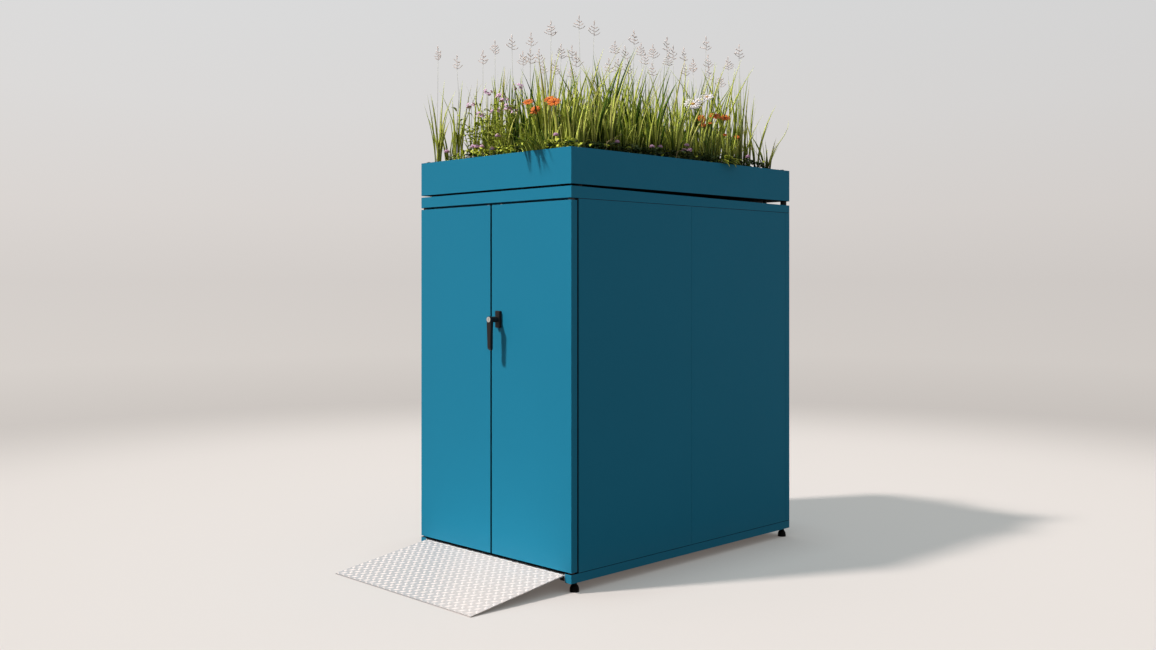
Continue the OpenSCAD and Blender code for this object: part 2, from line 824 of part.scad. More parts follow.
// Places of the hinge knuckles across the ramp, seen from the middle
leaf_knuckles = [-0.8, 0, 0.8] * (rail_in - guide_flange - knuckle_w);
carriage_knuckles = [-0.4, 0.4] * (rail_in - guide_flange - knuckle_w);

module knuckle(x) {
    rod_along_x(knuckle_r, x - knuckle_w / 2, x + knuckle_w / 2, 0, 0);
}

// The sliding bar with a block at each end and two hinge knuckles
module ramp_carriage() {
    block_z = guide_z + guide_t + slip;
    block_x = rail_in - guide_t - loose;
    bar_y = ramp_hinge_y + knuckle_r + 3;
    color(dark_steel) difference() {
        union() {
            for (side = [-1, 1]) on_side(side)
                block([block_x - block_w, front_y + 0.5, block_z],
                    [block_x, front_y + block_len, floor_z - 1]);
            block([-block_x, bar_y, ramp_z - knuckle_r - 1.5], [block_x, bar_y + bar_d, floor_z - 1]);
            for (x = carriage_knuckles) {
                translate([0, ramp_hinge_y, ramp_z]) knuckle(x);
                block([x - knuckle_w / 2, ramp_hinge_y, ramp_z - 2],
                    [x + knuckle_w / 2, bar_y + 1, ramp_z + 2]);
            }
        }
        rod_along_x(ramp_pin_r + run, -half_w, half_w, ramp_hinge_y, ramp_z);
        // Room for the ramp plate, its hinge leaf and the leaf's knuckles
        for (side = [-1, 1]) on_side(side)
            block([block_x - block_w - 1, front_y, ramp_z - 8], [half_w, ramp_hinge_y + 7, floor_z]);
    }
}

module ramp_hinge_pin() {
    color(zinc) rod_along_x(ramp_pin_r, -ramp_half + block_w, ramp_half - block_w, ramp_hinge_y, ramp_z);
}

// The ramp's own frame: the hinge axis is its origin and the plate lies along -Y
module at_ramp() {
    translate([0, ramp_hinge_y, ramp_z]) rotate([ramp_tilt, 0, 0]) children();
}

module ramp_hinge_leaf() {
    color(zinc) at_ramp() difference() {
        union() {
            block([-ramp_half + block_w, -leaf_len, plate_up - leaf_t],
                [ramp_half - block_w, -knuckle_r - 1, plate_up]);
            for (x = leaf_knuckles) {
                knuckle(x);
                block([x - knuckle_w / 2, -knuckle_r - 2, plate_up - leaf_t],
                    [x + knuckle_w / 2, 0, plate_up]);
            }
        }
        rod_along_x(ramp_pin_r + run, -half_w, half_w, 0, 0);
    }
}

// One raised tread: a long low lozenge
module tread(turn) {
    rotate(turn) hull() linear_extrude(tread_h + 0.2, scale = [0.4, 0])
        polygon([[-tread_len / 2, 0], [0, -tread_w / 2], [tread_len / 2, 0], [0, tread_w / 2]]);
}

// Chequer plate: treads in rows, turned this way and that by turns, and cut off at the plate's edges
module ramp_plate() {
    low = [-ramp_half, -ramp_len, plate_up];
    high = [ramp_half, -knuckle_r - 1, plate_up + ramp_t];
    rows = floor(ramp_len / tread_y);
    columns = ceil(ramp_half / tread_x);
    color(bright_alloy) at_ramp() union() {
        block(low, high);
        intersection() {
            block(low, high + [0, 0, 2 * tread_h]);
            for (row = [0:rows], column = [-columns:columns])
                translate([(column + row % 2 / 2) * tread_x, -(row + 0.5) * tread_y, plate_up + ramp_t - 0.2])
                    tread(row % 2 == 0 ? 45 : -45);
        }
    }
}

module planter_spacers() {
    color(rubber_black) for (side = [-1, 1], y = spacer_y) difference() {
        translate([side * post_x, y, roof_rear_z - sheet])
            cylinder(r = spacer_r, h = tray_z - roof_rear_z + sheet);
        across(-half_w, half_w)
            polygon([[front_y, roof_z], [rear_y, roof_rear_z], [rear_y, top_rail_z], [front_y, top_rail_z]]);
        translate([side * post_x, y, top_rail_z]) cylinder(r = bolt_r + loose, h = box_w);
    }
}

// Bolts from inside the tray through spacer, roof and packer into the top rails
module planter_bolts() {
    head = 5;
    color(zinc) for (side = [-1, 1], y = spacer_y) translate([side * post_x, y, 0]) {
        translate([0, 0, tray_z + sheet]) cylinder(r = 1.6 * bolt_r, h = head);
        translate([0, 0, top_rail_z1 - 8]) cylinder(r = bolt_r, h = tray_z + sheet + 1 - top_rail_z1 + 8);
    }
}

spout_at = [half_w - spout_side, rear_y - spout_side];

module planter_tray() {
    wall = [sheet, sheet, sheet];
    rim = [rim_w, rim_w, sheet];
    low = [-half_w, front_y, tray_z];
    high = [half_w, rear_y, rim_z];
    color(steel_blue) difference() {
        block(low, high);
        block(low + wall, high - wall);
        block(low + rim, high - rim + [0, 0, 2 * sheet]);
        for (side = [-1, 1]) {
            for (y = spacer_y)
                translate([side * post_x, y, tray_z - 1]) cylinder(r = bolt_r + seat, h = sheet + 2);
            translate([side * spout_at[0], spout_at[1], tray_z - 1])
                cylinder(r = spout_r + seat, h = sheet + 2);
        }
    }
}

// Short pipes that let water out of the tray on to the roof
module drain_spouts() {
    color(rubber_black) for (side = [-1, 1]) translate([side * spout_at[0], spout_at[1], 0]) difference() {
        union() {
            translate([0, 0, tray_z - spout_h]) cylinder(r = spout_r, h = spout_h + sheet + 1.5);
            translate([0, 0, tray_z + sheet]) cylinder(r = spout_r + 3, h = 1.5);
        }
        translate([0, 0, tray_z - spout_h - 1]) cylinder(r = spout_r - spout_wall, h = spout_h + sheet + 4);
    }
}

// Clearance holes leave room for the bolt heads and the spouts' flanges
module drainage_mat() {
    color(dark_steel) difference() {
        block([-skin_in + loose, front_y + sheet + loose, tray_z + sheet],
            [skin_in - loose, rear_y - sheet - loose, tray_z + sheet + mat_t]);
        for (side = [-1, 1]) {
            for (y = spacer_y)
                translate([side * post_x, y, tray_z]) cylinder(r = 1.6 * bolt_r + 1, h = mat_t + 2 * sheet);
            translate([side * spout_at[0], spout_at[1], tray_z])
                cylinder(r = spout_r + 4, h = mat_t + 2 * sheet);
        }
    }
}

module soil() {
    color([0.22, 0.15, 0.1]) block([-skin_in + loose, front_y + sheet + loose, tray_z + sheet + mat_t],
        [skin_in - loose, rear_y - sheet - loose, soil_z]);
}

// A point along a blade of grass that rises and bows outwards
function blade_at(root, h, lean, turn, t) =
    root + [lean * t * t * cos(turn), lean * t * t * sin(turn), h * t * (1 - 0.12 * t)];

// A blade with a three-sided section that narrows to a point
module blade(root, h, lean, turn, w) {
    rings = 3;
    flat = [-sin(turn), cos(turn), 0];
    out = [cos(turn), sin(turn), 0];
    points = [
        for (i = [0:rings - 1])
            let (p = blade_at(root, h, lean, turn, i / rings), half = w * (1 - 0.5 * i / rings) / 2)
            each [p - flat * half, p + flat * half, p + out * w * 0.35],
        blade_at(root, h, lean, turn, 1)
    ];
    tip = rings * 3;
    faces = concat(
        [[2, 1, 0]],
        [for (i = [0:rings - 2], k = [0:2]) let (a = 3 * i + k, b = 3 * i + (k + 1) % 3) [b + 3, a + 3, a]],
        [for (i = [0:rings - 2], k = [0:2]) let (a = 3 * i + k, b = 3 * i + (k + 1) % 3) [b, b + 3, a]],
        [for (k = [0:2]) [tip - 3 + (k + 1) % 3, tip, tip - 3 + k]]
    );
    polyhedron(points, faces);
}

// The plants stay this far inside the folded rim at the soil
root_in = 26;
bed_x = half_w - rim_w - root_in;
bed_y = rear_y - rim_w - root_in;
cover_x = half_w - rim_w - 4;
cover_y = rear_y - rim_w - 4;

// A seeded scatter value between -1 and 1 for each plant
function scatter(count, seed) = rands(-1, 1, count, seed);

module grass() {
    count = tufts_x * tufts_y;
    dx = scatter(count, 11);
    dy = scatter(count, 12);
    tall = scatter(count * blades, 13);
    for (i = [0:tufts_x - 1], j = [0:tufts_y - 1]) {
        n = i * tufts_y + j;
        cell = [2 * bed_x / tufts_x, 2 * bed_y / tufts_y];
        centre = [-bed_x + (i + 0.5 + 0.3 * dx[n]) * cell[0],
            -bed_y + (j + 0.5 + 0.3 * dy[n]) * cell[1], soil_z + 2];
        for (k = [0:blades - 1]) {
            turn = 360 * (k + 0.5 * dx[n]) / blades;
            h = grass_h * (0.78 + 0.2 * tall[n * blades + k]);
            blade(centre + 7 * [cos(turn), sin(turn), 0], h, blade_lean + 45 * dy[n], turn, blade_w);
        }
    }
}

// A thin stalk with an open seed head, drawn as one spindle
module seed_stalk(at, top, lean, turn) {
    neck = at + [lean * cos(turn), lean * sin(turn), top - seed_h - at[2]];
    hull() {
        translate(at) cylinder(r = 2.2, h = 1, $fn = 3);
        translate(neck) cylinder(r = 1.3, h = 2, $fn = 3);
    }
    hull() {
        translate(neck) cylinder(r = 1.5, h = 1, $fn = 3);
        translate(neck + [0, 0, 0.4 * seed_h]) cylinder(r = seed_r, h = 2, $fn = 5);
        translate(neck + [0, 0, seed_h - 1]) cylinder(r = 1.5, h = 1, $fn = 3);
    }
}

module seed_stalks() {
    count = seeds_x * seeds_y;
    dx = scatter(count, 21);
    dy = scatter(count, 22);
    down = scatter(count, 23);
    for (i = [0:seeds_x - 1], j = [0:seeds_y - 1]) {
        n = i * seeds_y + j;
        at = [-bed_x + (i + 0.5 + 0.35 * dx[n]) * 2 * bed_x / seeds_x,
            -bed_y + (j + 0.5 + 0.35 * dy[n]) * 2 * bed_y / seeds_y, soil_z + 2];
        seed_stalk(at, rim_z + seed_top - 45 * (1 + down[n]) * (n == 0 ? 0 : 1), 18 * dx[n], 360 * dy[n]);
    }
}

module flower_stems() {
    dx = scatter(flowers, 31);
    dy = scatter(flowers, 32);
    tall = scatter(flowers, 33);
    for (n = [0:flowers - 1]) {
        at = [0.95 * bed_x * dx[n], bed_y * (2 * (n + 0.5) / flowers - 1), soil_z + 2];
        top = at + [4 * dy[n], 6 * dx[n], flower_h * (1 + 0.3 * tall[n])];
        hull() {
            translate(at) cylinder(r = 2, h = 1, $fn = 3);
            translate(top) cylinder(r = 1.5, h = 1, $fn = 3);
        }
        hull() {
            translate(top) cylinder(r = 3, h = 1, $fn = 7);
            translate(top + [0, 0, 7]) cylinder(r = flower_r, h = 2, $fn = 7);
        }
    }
}

// A bumpy carpet of leaves over the whole bed: a grid of heights over a flat base
module ground_cover() {
    columns = ceil(2 * cover_x / cover_step);
    rows = ceil(2 * cover_y / cover_step);
    high = scatter((columns + 1) * (rows + 1), 41);
    inner = function (i, j) i > 0 && i < columns && j > 0 && j < rows;
    top = [for (j = [0:rows], i = [0:columns])
        [cover_x * (2 * i / columns - 1), cover_y * (2 * j / rows - 1),
            soil_z + cover_h * (inner(i, j) ? 0.6 + 0.4 * high[i + j * (columns + 1)] : 0.35)]];
    base = [for (p = top) [p[0], p[1], soil_z]];
    count = len(top);
    at = function (i, j) i + j * (columns + 1);
    faces = concat(
        [for (j = [0:rows - 1], i = [0:columns - 1]) [at(i, j), at(i, j + 1), at(i + 1, j + 1)]],
        [for (j = [0:rows - 1], i = [0:columns - 1]) [at(i, j), at(i + 1, j + 1), at(i + 1, j)]],
        [concat([for (i = [0:columns]) count + at(i, 0)], [for (j = [1:rows]) count + at(columns, j)],
            [for (i = [columns - 1:-1:0]) count + at(i, rows)], [for (j = [rows - 1:-1:1]) count + at(0, j)])],
        [for (i = [0:columns - 1]) [at(i, 0), at(i + 1, 0), count + at(i + 1, 0), count + at(i, 0)]],
        [for (i = [0:columns - 1])
            [at(i + 1, rows), at(i, rows), count + at(i, rows), count + at(i + 1, rows)]],
        [for (j = [0:rows - 1]) [at(0, j + 1), at(0, j), count + at(0, j), count + at(0, j + 1)]],
        [for (j = [0:rows - 1])
            [at(columns, j), at(columns, j + 1), count + at(columns, j + 1), count + at(columns, j)]]
    );
    polyhedron(concat(top, base), faces);
}

// All plants of the bed, grown together in one root mat
module planting() {
    color([0.42, 0.52, 0.2]) union() {
        ground_cover();
        grass();
        seed_stalks();
        flower_stems();
    }
}

base_rail_left();
base_rail_right();
base_rail_rear();
floor_crossbars();
rail_end_caps();
floor_plate();
foot_inserts();
foot_front_left();
foot_front_right();
foot_rear_left();
foot_rear_right();
posts_left();
posts_right();
header_rail();
top_rail_left();
top_rail_right();
roof_crossbars();
side_panel_left_front();
side_panel_left_rear();
side_panel_right_front();
side_panel_right_rear();
rear_panel();
roof_cap();
roof_packers();
door_stop();
door_seal();
pivot_pins();
door_left();
door_right();
door_bushes_left();
door_bushes_right();
stiffeners_left();
stiffeners_right();
handle_plate();
handle_screws();
handle_lever();
handle_spindle();
lock_cam();
key_plug();
lock_rod_upper();
lock_rod_lower();
lock_rod_guides();
flush_bolt_upper();
flush_bolt_lower();
flush_bolt_guides();
ramp_guide_left();
ramp_guide_right();
ramp_carriage();
ramp_hinge_pin();
ramp_hinge_leaf();
ramp_plate();
planter_spacers();
planter_bolts();
planter_tray();
drain_spouts();
drainage_mat();
soil();
planting();
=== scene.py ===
import json
import math
import random

import bpy
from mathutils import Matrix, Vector


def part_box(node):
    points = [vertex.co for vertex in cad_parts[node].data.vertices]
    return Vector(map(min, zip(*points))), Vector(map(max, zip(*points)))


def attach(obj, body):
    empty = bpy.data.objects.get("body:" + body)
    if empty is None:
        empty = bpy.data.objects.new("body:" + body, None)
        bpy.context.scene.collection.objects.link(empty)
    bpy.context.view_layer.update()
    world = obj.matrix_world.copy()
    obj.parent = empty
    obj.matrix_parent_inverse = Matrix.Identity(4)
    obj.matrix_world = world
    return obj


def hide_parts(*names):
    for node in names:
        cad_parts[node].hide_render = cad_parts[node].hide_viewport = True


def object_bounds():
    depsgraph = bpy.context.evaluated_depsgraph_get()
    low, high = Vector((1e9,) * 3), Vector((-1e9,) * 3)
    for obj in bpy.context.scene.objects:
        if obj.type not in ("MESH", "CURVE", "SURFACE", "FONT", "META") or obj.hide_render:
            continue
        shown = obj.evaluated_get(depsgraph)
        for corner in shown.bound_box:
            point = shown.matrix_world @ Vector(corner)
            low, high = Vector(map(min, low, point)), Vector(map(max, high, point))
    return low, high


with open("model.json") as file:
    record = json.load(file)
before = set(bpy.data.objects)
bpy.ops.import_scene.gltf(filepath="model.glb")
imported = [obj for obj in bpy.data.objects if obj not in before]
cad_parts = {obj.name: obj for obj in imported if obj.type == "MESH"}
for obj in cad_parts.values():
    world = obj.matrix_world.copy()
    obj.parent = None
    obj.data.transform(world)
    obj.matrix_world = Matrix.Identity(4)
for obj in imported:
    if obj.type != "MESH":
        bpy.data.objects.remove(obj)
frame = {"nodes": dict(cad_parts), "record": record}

bl_info = {
    "name": "Pushchair Storage Box Looks",
    "version": (1, 0, 0),
    "blender": (4, 5, 0),
    "location": "3D View > Sidebar > Storage Box",
    "description": "Finishes, planting and studio for a sheet-steel storage box with a planted roof",
    "category": "Object",
}

CAD_LOW, CAD_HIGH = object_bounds()
DOOR_LOW, DOOR_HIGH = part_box("door_right")
FLOOR_LOW, FLOOR_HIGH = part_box("floor_plate")
ROOF_LOW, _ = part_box("roof_cap")
_, RAMP_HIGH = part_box("ramp_plate")
TRAY_LOW, TRAY_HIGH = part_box("planter_tray")
SOIL_LOW, SOIL_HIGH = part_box("soil")
SOIL_Z = SOIL_HIGH.z
RIM_Z = TRAY_HIGH.z

# The ramp's hinge axis in Y and Z, its slope in degrees, and where its treads begin above that axis
RAMP_AXIS = (-0.606, 0.052)
RAMP_LEAN = 7.81
TREAD_FOOT = 0.0062

# Blades are kept within these X and Y: a little outside the CAD model's sides, and the tray's front and back
OVERHANG = 0.025 * (CAD_HIGH.x - CAD_LOW.x) + 0.008
LEAF_LOW = (CAD_LOW.x - OVERHANG, TRAY_LOW.y - 0.09)
LEAF_HIGH = (CAD_HIGH.x + OVERHANG, TRAY_HIGH.y + 0.05)

# Stems and tufts start this deep in the soil, and lighter plants a little higher
ROOT_DEPTH = 0.004
LIGHT_ROOT_DEPTH = 0.003
TWIG_DEPTH = 0.002

# Width of the camera's sensor in millimetres, and the level way to the right of its picture in X and Y
SENSOR = 36.0
RIGHTWARD = (0.7057, 0.7085)

# Width of the studio's round floor from its middle, the bend at its edge and the height of its wall
FLOOR_RADIUS = 6.2
FLOOR_BEND = 0.7
WALL_TOP = 9.0

# The way in which sunlight travels
SUNLIGHT = (0.153, 0.2825, -0.387)

# Share of the plastic's colour that the feet give back, and the black painted shade in the gaps between
# parts
PAINTED_SHADE_SHARE = 0.1
FOOT_SHADE = 0.15

# Where seed heads stand, seen by the camera: pixels of a frame 1156 wide and 650 high
SEED_HEADS = [
    (438, 54), (457, 63), (483, 58), (495, 48), (512, 43), (531, 40), (551, 29), (579, 23),
    (594, 29), (523, 59), (530, 57), (543, 68), (561, 52), (572, 53), (576, 60), (615, 48),
    (609, 66), (618, 66), (555, 68), (625, 53), (634, 38), (641, 50), (628, 67), (645, 59),
    (653, 52), (652, 70), (667, 45), (668, 60), (673, 53), (684, 55), (693, 66), (685, 70),
    (706, 44), (728, 64), (739, 52), (709, 74), (721, 81), (708, 62), (539, 57), (571, 72),
]

# Tufts that stand clear of the rest: pixel column, share along the bed, pixel row of the tip, blades, splay
CLEAR_TUFTS = [
    (439, 0.3, 79, 10, 0.2), (436, 0.45, 90, 5, 0.3), (456, 0.4, 82, 10, 0.16), (460, 0.5, 84, 6, 0.12),
    (473, 0.3, 80, 5, 0.1), (474, 0.5, 112, 8, 0.26), (487, 0.3, 84, 8, 0.14), (493, 0.4, 71, 8, 0.1),
    (500, 0.3, 62, 8, 0.1), (508, 0.5, 74, 8, 0.14), (515, 0.2, 64, 9, 0.12), (526, 0.3, 61, 9, 0.12),
    (534, 0.15, 66, 8, 0.12), (548, 0.1, 52, 9, 0.1), (553, 0.25, 58, 8, 0.16), (566, 0.15, 66, 8, 0.14),
    (581, 0.2, 53, 8, 0.12), (590, 0.4, 64, 9, 0.22), (599, 0.15, 54, 9, 0.14), (615, 0.3, 64, 8, 0.14),
    (626, 0.2, 66, 8, 0.12), (637, 0.4, 64, 8, 0.16), (646, 0.2, 60, 8, 0.16), (660, 0.35, 63, 9, 0.12),
    (668, 0.2, 60, 8, 0.14), (680, 0.4, 70, 8, 0.12), (690, 0.2, 72, 9, 0.12), (700, 0.35, 70, 8, 0.12),
    (707, 0.2, 66, 8, 0.14), (716, 0.45, 68, 8, 0.22), (726, 0.25, 66, 9, 0.16), (739, 0.35, 75, 10, 0.08),
    (742, 0.45, 78, 7, 0.07), (748, 0.3, 92, 7, 0.16), (756, 0.4, 104, 6, 0.12), (766, 0.4, 124, 7, 0.34),
    (768, 0.6, 138, 5, 0.3), (731, 0.6, 92, 7, 0.2), (449, 0.6, 122, 7, 0.3),
]

# Flowers seen by the camera: pixel, which way each looks, and its size against the usual one
ORANGE_FLOWERS = [
    (528, 102, (0.25, -0.55, 0.75), 0.9), (535, 110, (0.25, -0.75, 0.6), 0.95),
    (549, 99, (0.1, -0.6, 0.8), 0.9), (554, 102, (0.35, -0.6, 0.7), 1.1),
    (702, 119, (0.85, -0.4, 0.4), 0.8), (715, 116, (0.45, -0.4, 0.8), 1.0),
    (725, 118, (0.4, -0.45, 0.8), 1.0), (703, 125, (0.5, -0.4, 0.7), 0.6),
    (710, 123, (0.4, -0.4, 0.8), 0.4), (725, 135, (0.5, -0.4, 0.7), 0.4),
    (737, 137, (0.5, -0.4, 0.7), 0.5),
]
WHITE_DAISIES = [
    (693, 104, (0.45, -0.55, 0.7), 1.5), (707, 97, (0.35, -0.45, 0.8), 1.3),
    (699, 101, (0.6, -0.3, 0.7), 0.8),
]
LILAC_SPRAYS = [
    (471, 105), (481, 115), (488, 92), (504, 99), (508, 108), (513, 112), (519, 87), (495, 110), (500, 97),
]
PURPLE_HEADS = [
    (447, 152), (473, 147), (477, 147), (482, 147), (492, 149), (498, 136), (556, 135), (617, 142),
    (652, 147), (660, 147), (684, 151), (689, 151), (748, 157), (690, 150),
]

# The pixels of both ends of the twigs that lie over the rim
RIM_TWIGS = [((607, 142), (622, 134)), ((677, 152), (689, 147))]

# Pixel columns: where tufts grow thick, where the low leaves stand high, where herbs grow, where blades
# lean over the rim, and where leaves hang over it
THICK_TUFTS = (476, 744)
HIGH_LEAVES = (452, 764)
HERB_COLUMNS = (468, 522)
LEANING_BLADES = [526 + 1.2 * k for k in range(18)]
HANGING_LEAVES = 727

# How many herbs stand, how many of them in those columns, and how many purple heads and twigs lie anywhere
HERBS = 44
HERBS_IN_COLUMNS = 30
LOOSE_PURPLE_HEADS = 14
LOOSE_TWIGS = 9

# Corners of the bed near which tufts are sparser: X and Y, and how far that reaches
SPARSE_CORNERS = [(-0.42, -0.63, 0.62), (0.42, 0.63, 0.66)]


class Socket:
    """A value in a material's node tree, so that shader maths reads as Python."""

    def __init__(self, graph, link):
        self.graph = graph
        self.link = link

    def math(self, operation, *values):
        return self.graph.node("ShaderNodeMath", dict(enumerate(values)), operation=operation)

    def __add__(self, other):
        return self.math("ADD", self, other)

    __radd__ = __add__

    def __sub__(self, other):
        return self.math("SUBTRACT", self, other)

    def __rsub__(self, other):
        return self.math("SUBTRACT", other, self)

    def __mul__(self, other):
        return self.math("MULTIPLY", self, other)

    __rmul__ = __mul__

    def __truediv__(self, other):
        return self.math("DIVIDE", self, other)

    def __pow__(self, other):
        return self.math("POWER", self, other)

    def clamp(self):
        return self.graph.node("ShaderNodeClamp", {0: self})

    def step(self, low, high):
        """0 below low, 1 above high, and smooth between them."""
        values = {0: self, 1: low, 2: high, 3: 0.0, 4: 1.0}
        return self.graph.node("ShaderNodeMapRange", values, interpolation_type="SMOOTHSTEP")


class Graph:
    """The node tree of a new material or world."""

    def __init__(self, owner):
        owner.use_nodes = True
        self.owner = owner
        self.tree = owner.node_tree
        self.tree.nodes.clear()

    def feed(self, socket, value):
        if isinstance(value, Socket):
            self.tree.links.new(value.link, socket)
        elif hasattr(value, "__len__") and len(value) == 3 and len(socket.default_value) == 4:
            socket.default_value = (*value, 1.0)
        else:
            socket.default_value = value

    def node(self, kind, inputs=None, output=0, **settings):
        """Adds a node, sets it, feeds its inputs and gives one of its outputs."""
        made = self.tree.nodes.new(kind)
        for key, value in settings.items():
            setattr(made, key, value)
        for key, value in (inputs or {}).items():
            self.feed(made.inputs[key], value)
        return Socket(self, made.outputs[output]) if made.outputs else None

    def place(self, stretch=(1.0, 1.0, 1.0)):
        """The object's own coordinates, in metres, stretched."""
        at = self.node("ShaderNodeTexCoord", output="Object")
        return self.node("ShaderNodeMapping", {"Vector": at, "Scale": stretch})

    def axis(self, letter):
        """The object's own X, Y or Z, in metres."""
        at = self.node("ShaderNodeTexCoord", output="Object")
        return self.node("ShaderNodeSeparateXYZ", {0: at}, letter)

    def height(self):
        return self.axis("Z")

    def noise(self, scale, detail=2.0, rough=0.5, stretch=(1.0, 1.0, 1.0)):
        inputs = {"Vector": self.place(stretch), "Scale": scale, "Detail": detail, "Roughness": rough}
        return self.node("ShaderNodeTexNoise", inputs)

    def cells(self, scale, feature="F1", output=0):
        inputs = {"Vector": self.place(), "Scale": scale}
        return self.node("ShaderNodeTexVoronoi", inputs, output, feature=feature)

    def ramp(self, factor, stops):
        """A colour that follows the stops, each a place from 0 to 1 and its colour."""
        made = self.node("ShaderNodeValToRGB", {0: factor})
        elements = made.link.node.color_ramp.elements
        elements[0].position, elements[1].position = stops[0][0], stops[-1][0]
        for place, _ in stops[1:-1]:
            elements.new(place)
        for element, (_, colour) in zip(elements, stops):
            element.color = (*colour, 1.0)
        return made

    def mix(self, factor, a, b):
        """A colour between a and b."""
        return self.node("ShaderNodeMix", {0: factor, 6: a, 7: b}, 2, data_type="RGBA")

    def growth(self):
        """What the planting stores on its vertices: the way along a leaf, its own tint and its edge."""
        stored = self.node("ShaderNodeAttribute", {}, "Vector", attribute_name="growth")
        return [self.node("ShaderNodeSeparateXYZ", {0: stored}, part) for part in "XYZ"]


class Finish(Graph):
    """A material with one Principled shader."""

    def __init__(self, name, specular=0.5, metallic=0.0):
        super().__init__(bpy.data.materials.new(name))
        inputs = {"Specular IOR Level": specular, "Metallic": metallic}
        shader = self.node("ShaderNodeBsdfPrincipled", inputs)
        self.node("ShaderNodeOutputMaterial", {0: shader})
        self.shader = shader.link.node

    def set(self, socket, value):
        self.feed(self.shader.inputs[socket], value)

    def surface(self, colour, rough, height, distance, strength):
        """Feeds the colour, the roughness and a bump this many metres high, and gives the material."""
        self.set("Base Color", colour)
        self.set("Roughness", rough)
        bump = {"Height": height, "Distance": distance, "Strength": strength}
        self.set("Normal", self.node("ShaderNodeBump", bump))
        return self.owner


def shade(colour, factor):
    """A colour made darker or lighter by a factor."""
    return tuple(min(1.0, factor * c) for c in colour)


def tones(colour, spread):
    """A darker and a lighter version of a colour."""
    return shade(colour, 1 - spread), shade(colour, 1 + spread)


def blue_coat(colours, name="blue_coat", painted_shade_at=None):
    """Satin powder coat with a fine orange peel and a faint drift of tone, and painted shade in black where
    a gap between parts is to read dark.
    """
    made = Finish(name, 0.045)
    drift = made.noise(2.2, 3.0, 0.55)
    dust = 0.05 * (1 - made.height().step(0.03, 0.16)) * made.noise(35.0, 4.0, 0.6)
    coat = made.mix(dust, made.mix(drift, *tones(colours.blue, 0.035)), (0.30, 0.29, 0.27))
    rough = 0.46 + 0.10 * made.noise(14.0, 3.0, 0.6)
    # Painted shade: black where the mask of a dark gap lies
    if painted_shade_at:
        painted_shade = painted_shade_at(made)
        coat = made.mix(painted_shade, coat, shade(colours.plastic, PAINTED_SHADE_SHARE))
        rough = rough + 0.3 * painted_shade
    peel = made.noise(620.0, 2.0, 0.45) + 0.5 * made.noise(1500.0, 1.0, 0.5)
    return made.surface(coat, rough, peel, 0.00012, 0.35)


def door_coat(colours):
    """The same coat on the doors, with painted shade in black on their edges where the two meet."""

    def painted_shade(made):
        # Painted shade: the doors' edge faces in the gap between them are black
        x = made.axis("X")
        return 1 - (x * x).step(0.0040**2, 0.0043**2)

    return blue_coat(colours, "door_coat", painted_shade)


def rail_coat(colours):
    """The same coat on the base rails, with painted shade in black on top, under the doors and side panels.
    """

    def rail_top_shade(made):
        # Painted shade: the rails' top faces, seen in the gaps under the doors and panels, are black
        return made.height().step(FLOOR_HIGH.z - 0.0009, FLOOR_HIGH.z - 0.0005)

    return blue_coat(colours, "rail_coat", rail_top_shade)


def tray_coat(colours):
    """The same coat on the planter tray, with painted shade in black on its underside."""

    def underside_shade(made):
        # Painted shade: the tray's underside and lowest millimetre, seen in the gap over the roof cap's
        # band, are black
        return 1 - made.height().step(TRAY_LOW.z + 0.0010, TRAY_LOW.z + 0.0014)

    return blue_coat(colours, "tray_coat", underside_shade)


def roof_coat(colours):
    """The same coat on the roof cap, with painted shade in black along its lower edge, wider over the doors.
    """

    def lower_edge_shade(made):
        # Painted shade: the cap's lower edge, over the gap above the doors, is black
        front = 1 - made.axis("Y").step(ROOF_LOW.y + 0.0002, ROOF_LOW.y + 0.0006)
        return 1 - (made.height() - 0.0008 * front).step(ROOF_LOW.z + 0.0005, ROOF_LOW.z + 0.0009)

    return blue_coat(colours, "roof_coat", lower_edge_shade)


def black_steel(colours):
    """Black paint on tube, a little worn to grey where it is handled."""
    made = Finish("black_steel")
    worn = made.noise(60.0, 5.0, 0.7).step(0.62, 0.8)
    paint = made.mix(0.35 * worn, colours.black, (0.07, 0.068, 0.065))
    rough = 0.5 + 0.18 * made.noise(90.0, 3.0, 0.6)
    return made.surface(paint, rough, made.noise(900.0, 2.0, 0.5), 0.0001, 0.4)


def zinc_steel(colours, name="zinc_steel", highlight_to=None):
    """Bright zinc plating with a cloudy, slightly blue passivation, and a painted highlight, a pale band
    that is not metallic, up to a given Y if one is given.
    """
    made = Finish(name, metallic=1.0)
    cloud = made.noise(120.0, 4.0, 0.6)
    dark, light = tones(colours.zinc, 0.14)
    warm = made.mix(made.noise(45.0, 2.0), dark, (0.60, 0.585, 0.53))
    plated = made.mix(cloud, warm, light)
    if highlight_to is not None:
        # Painted highlight: the edge up to that Y is pale and not metallic
        painted_highlight = 1 - made.axis("Y").step(highlight_to, highlight_to + 0.0005)
        plated = made.mix(painted_highlight, plated, (0.85, 0.90, 0.92))
        made.set("Metallic", 1 - painted_highlight)
    brushed = made.noise(1400.0, 2.0, 0.6, (1.0, 1.0, 0.15))
    return made.surface(plated, 0.24 + 0.22 * cloud, brushed, 0.00008, 0.4)


def guide_steel(colours):
    """Zinc plating on the ramp's guides, with a painted highlight along the edge at the front."""
    return zinc_steel(colours, "guide_steel", DOOR_LOW.y + 0.0015)


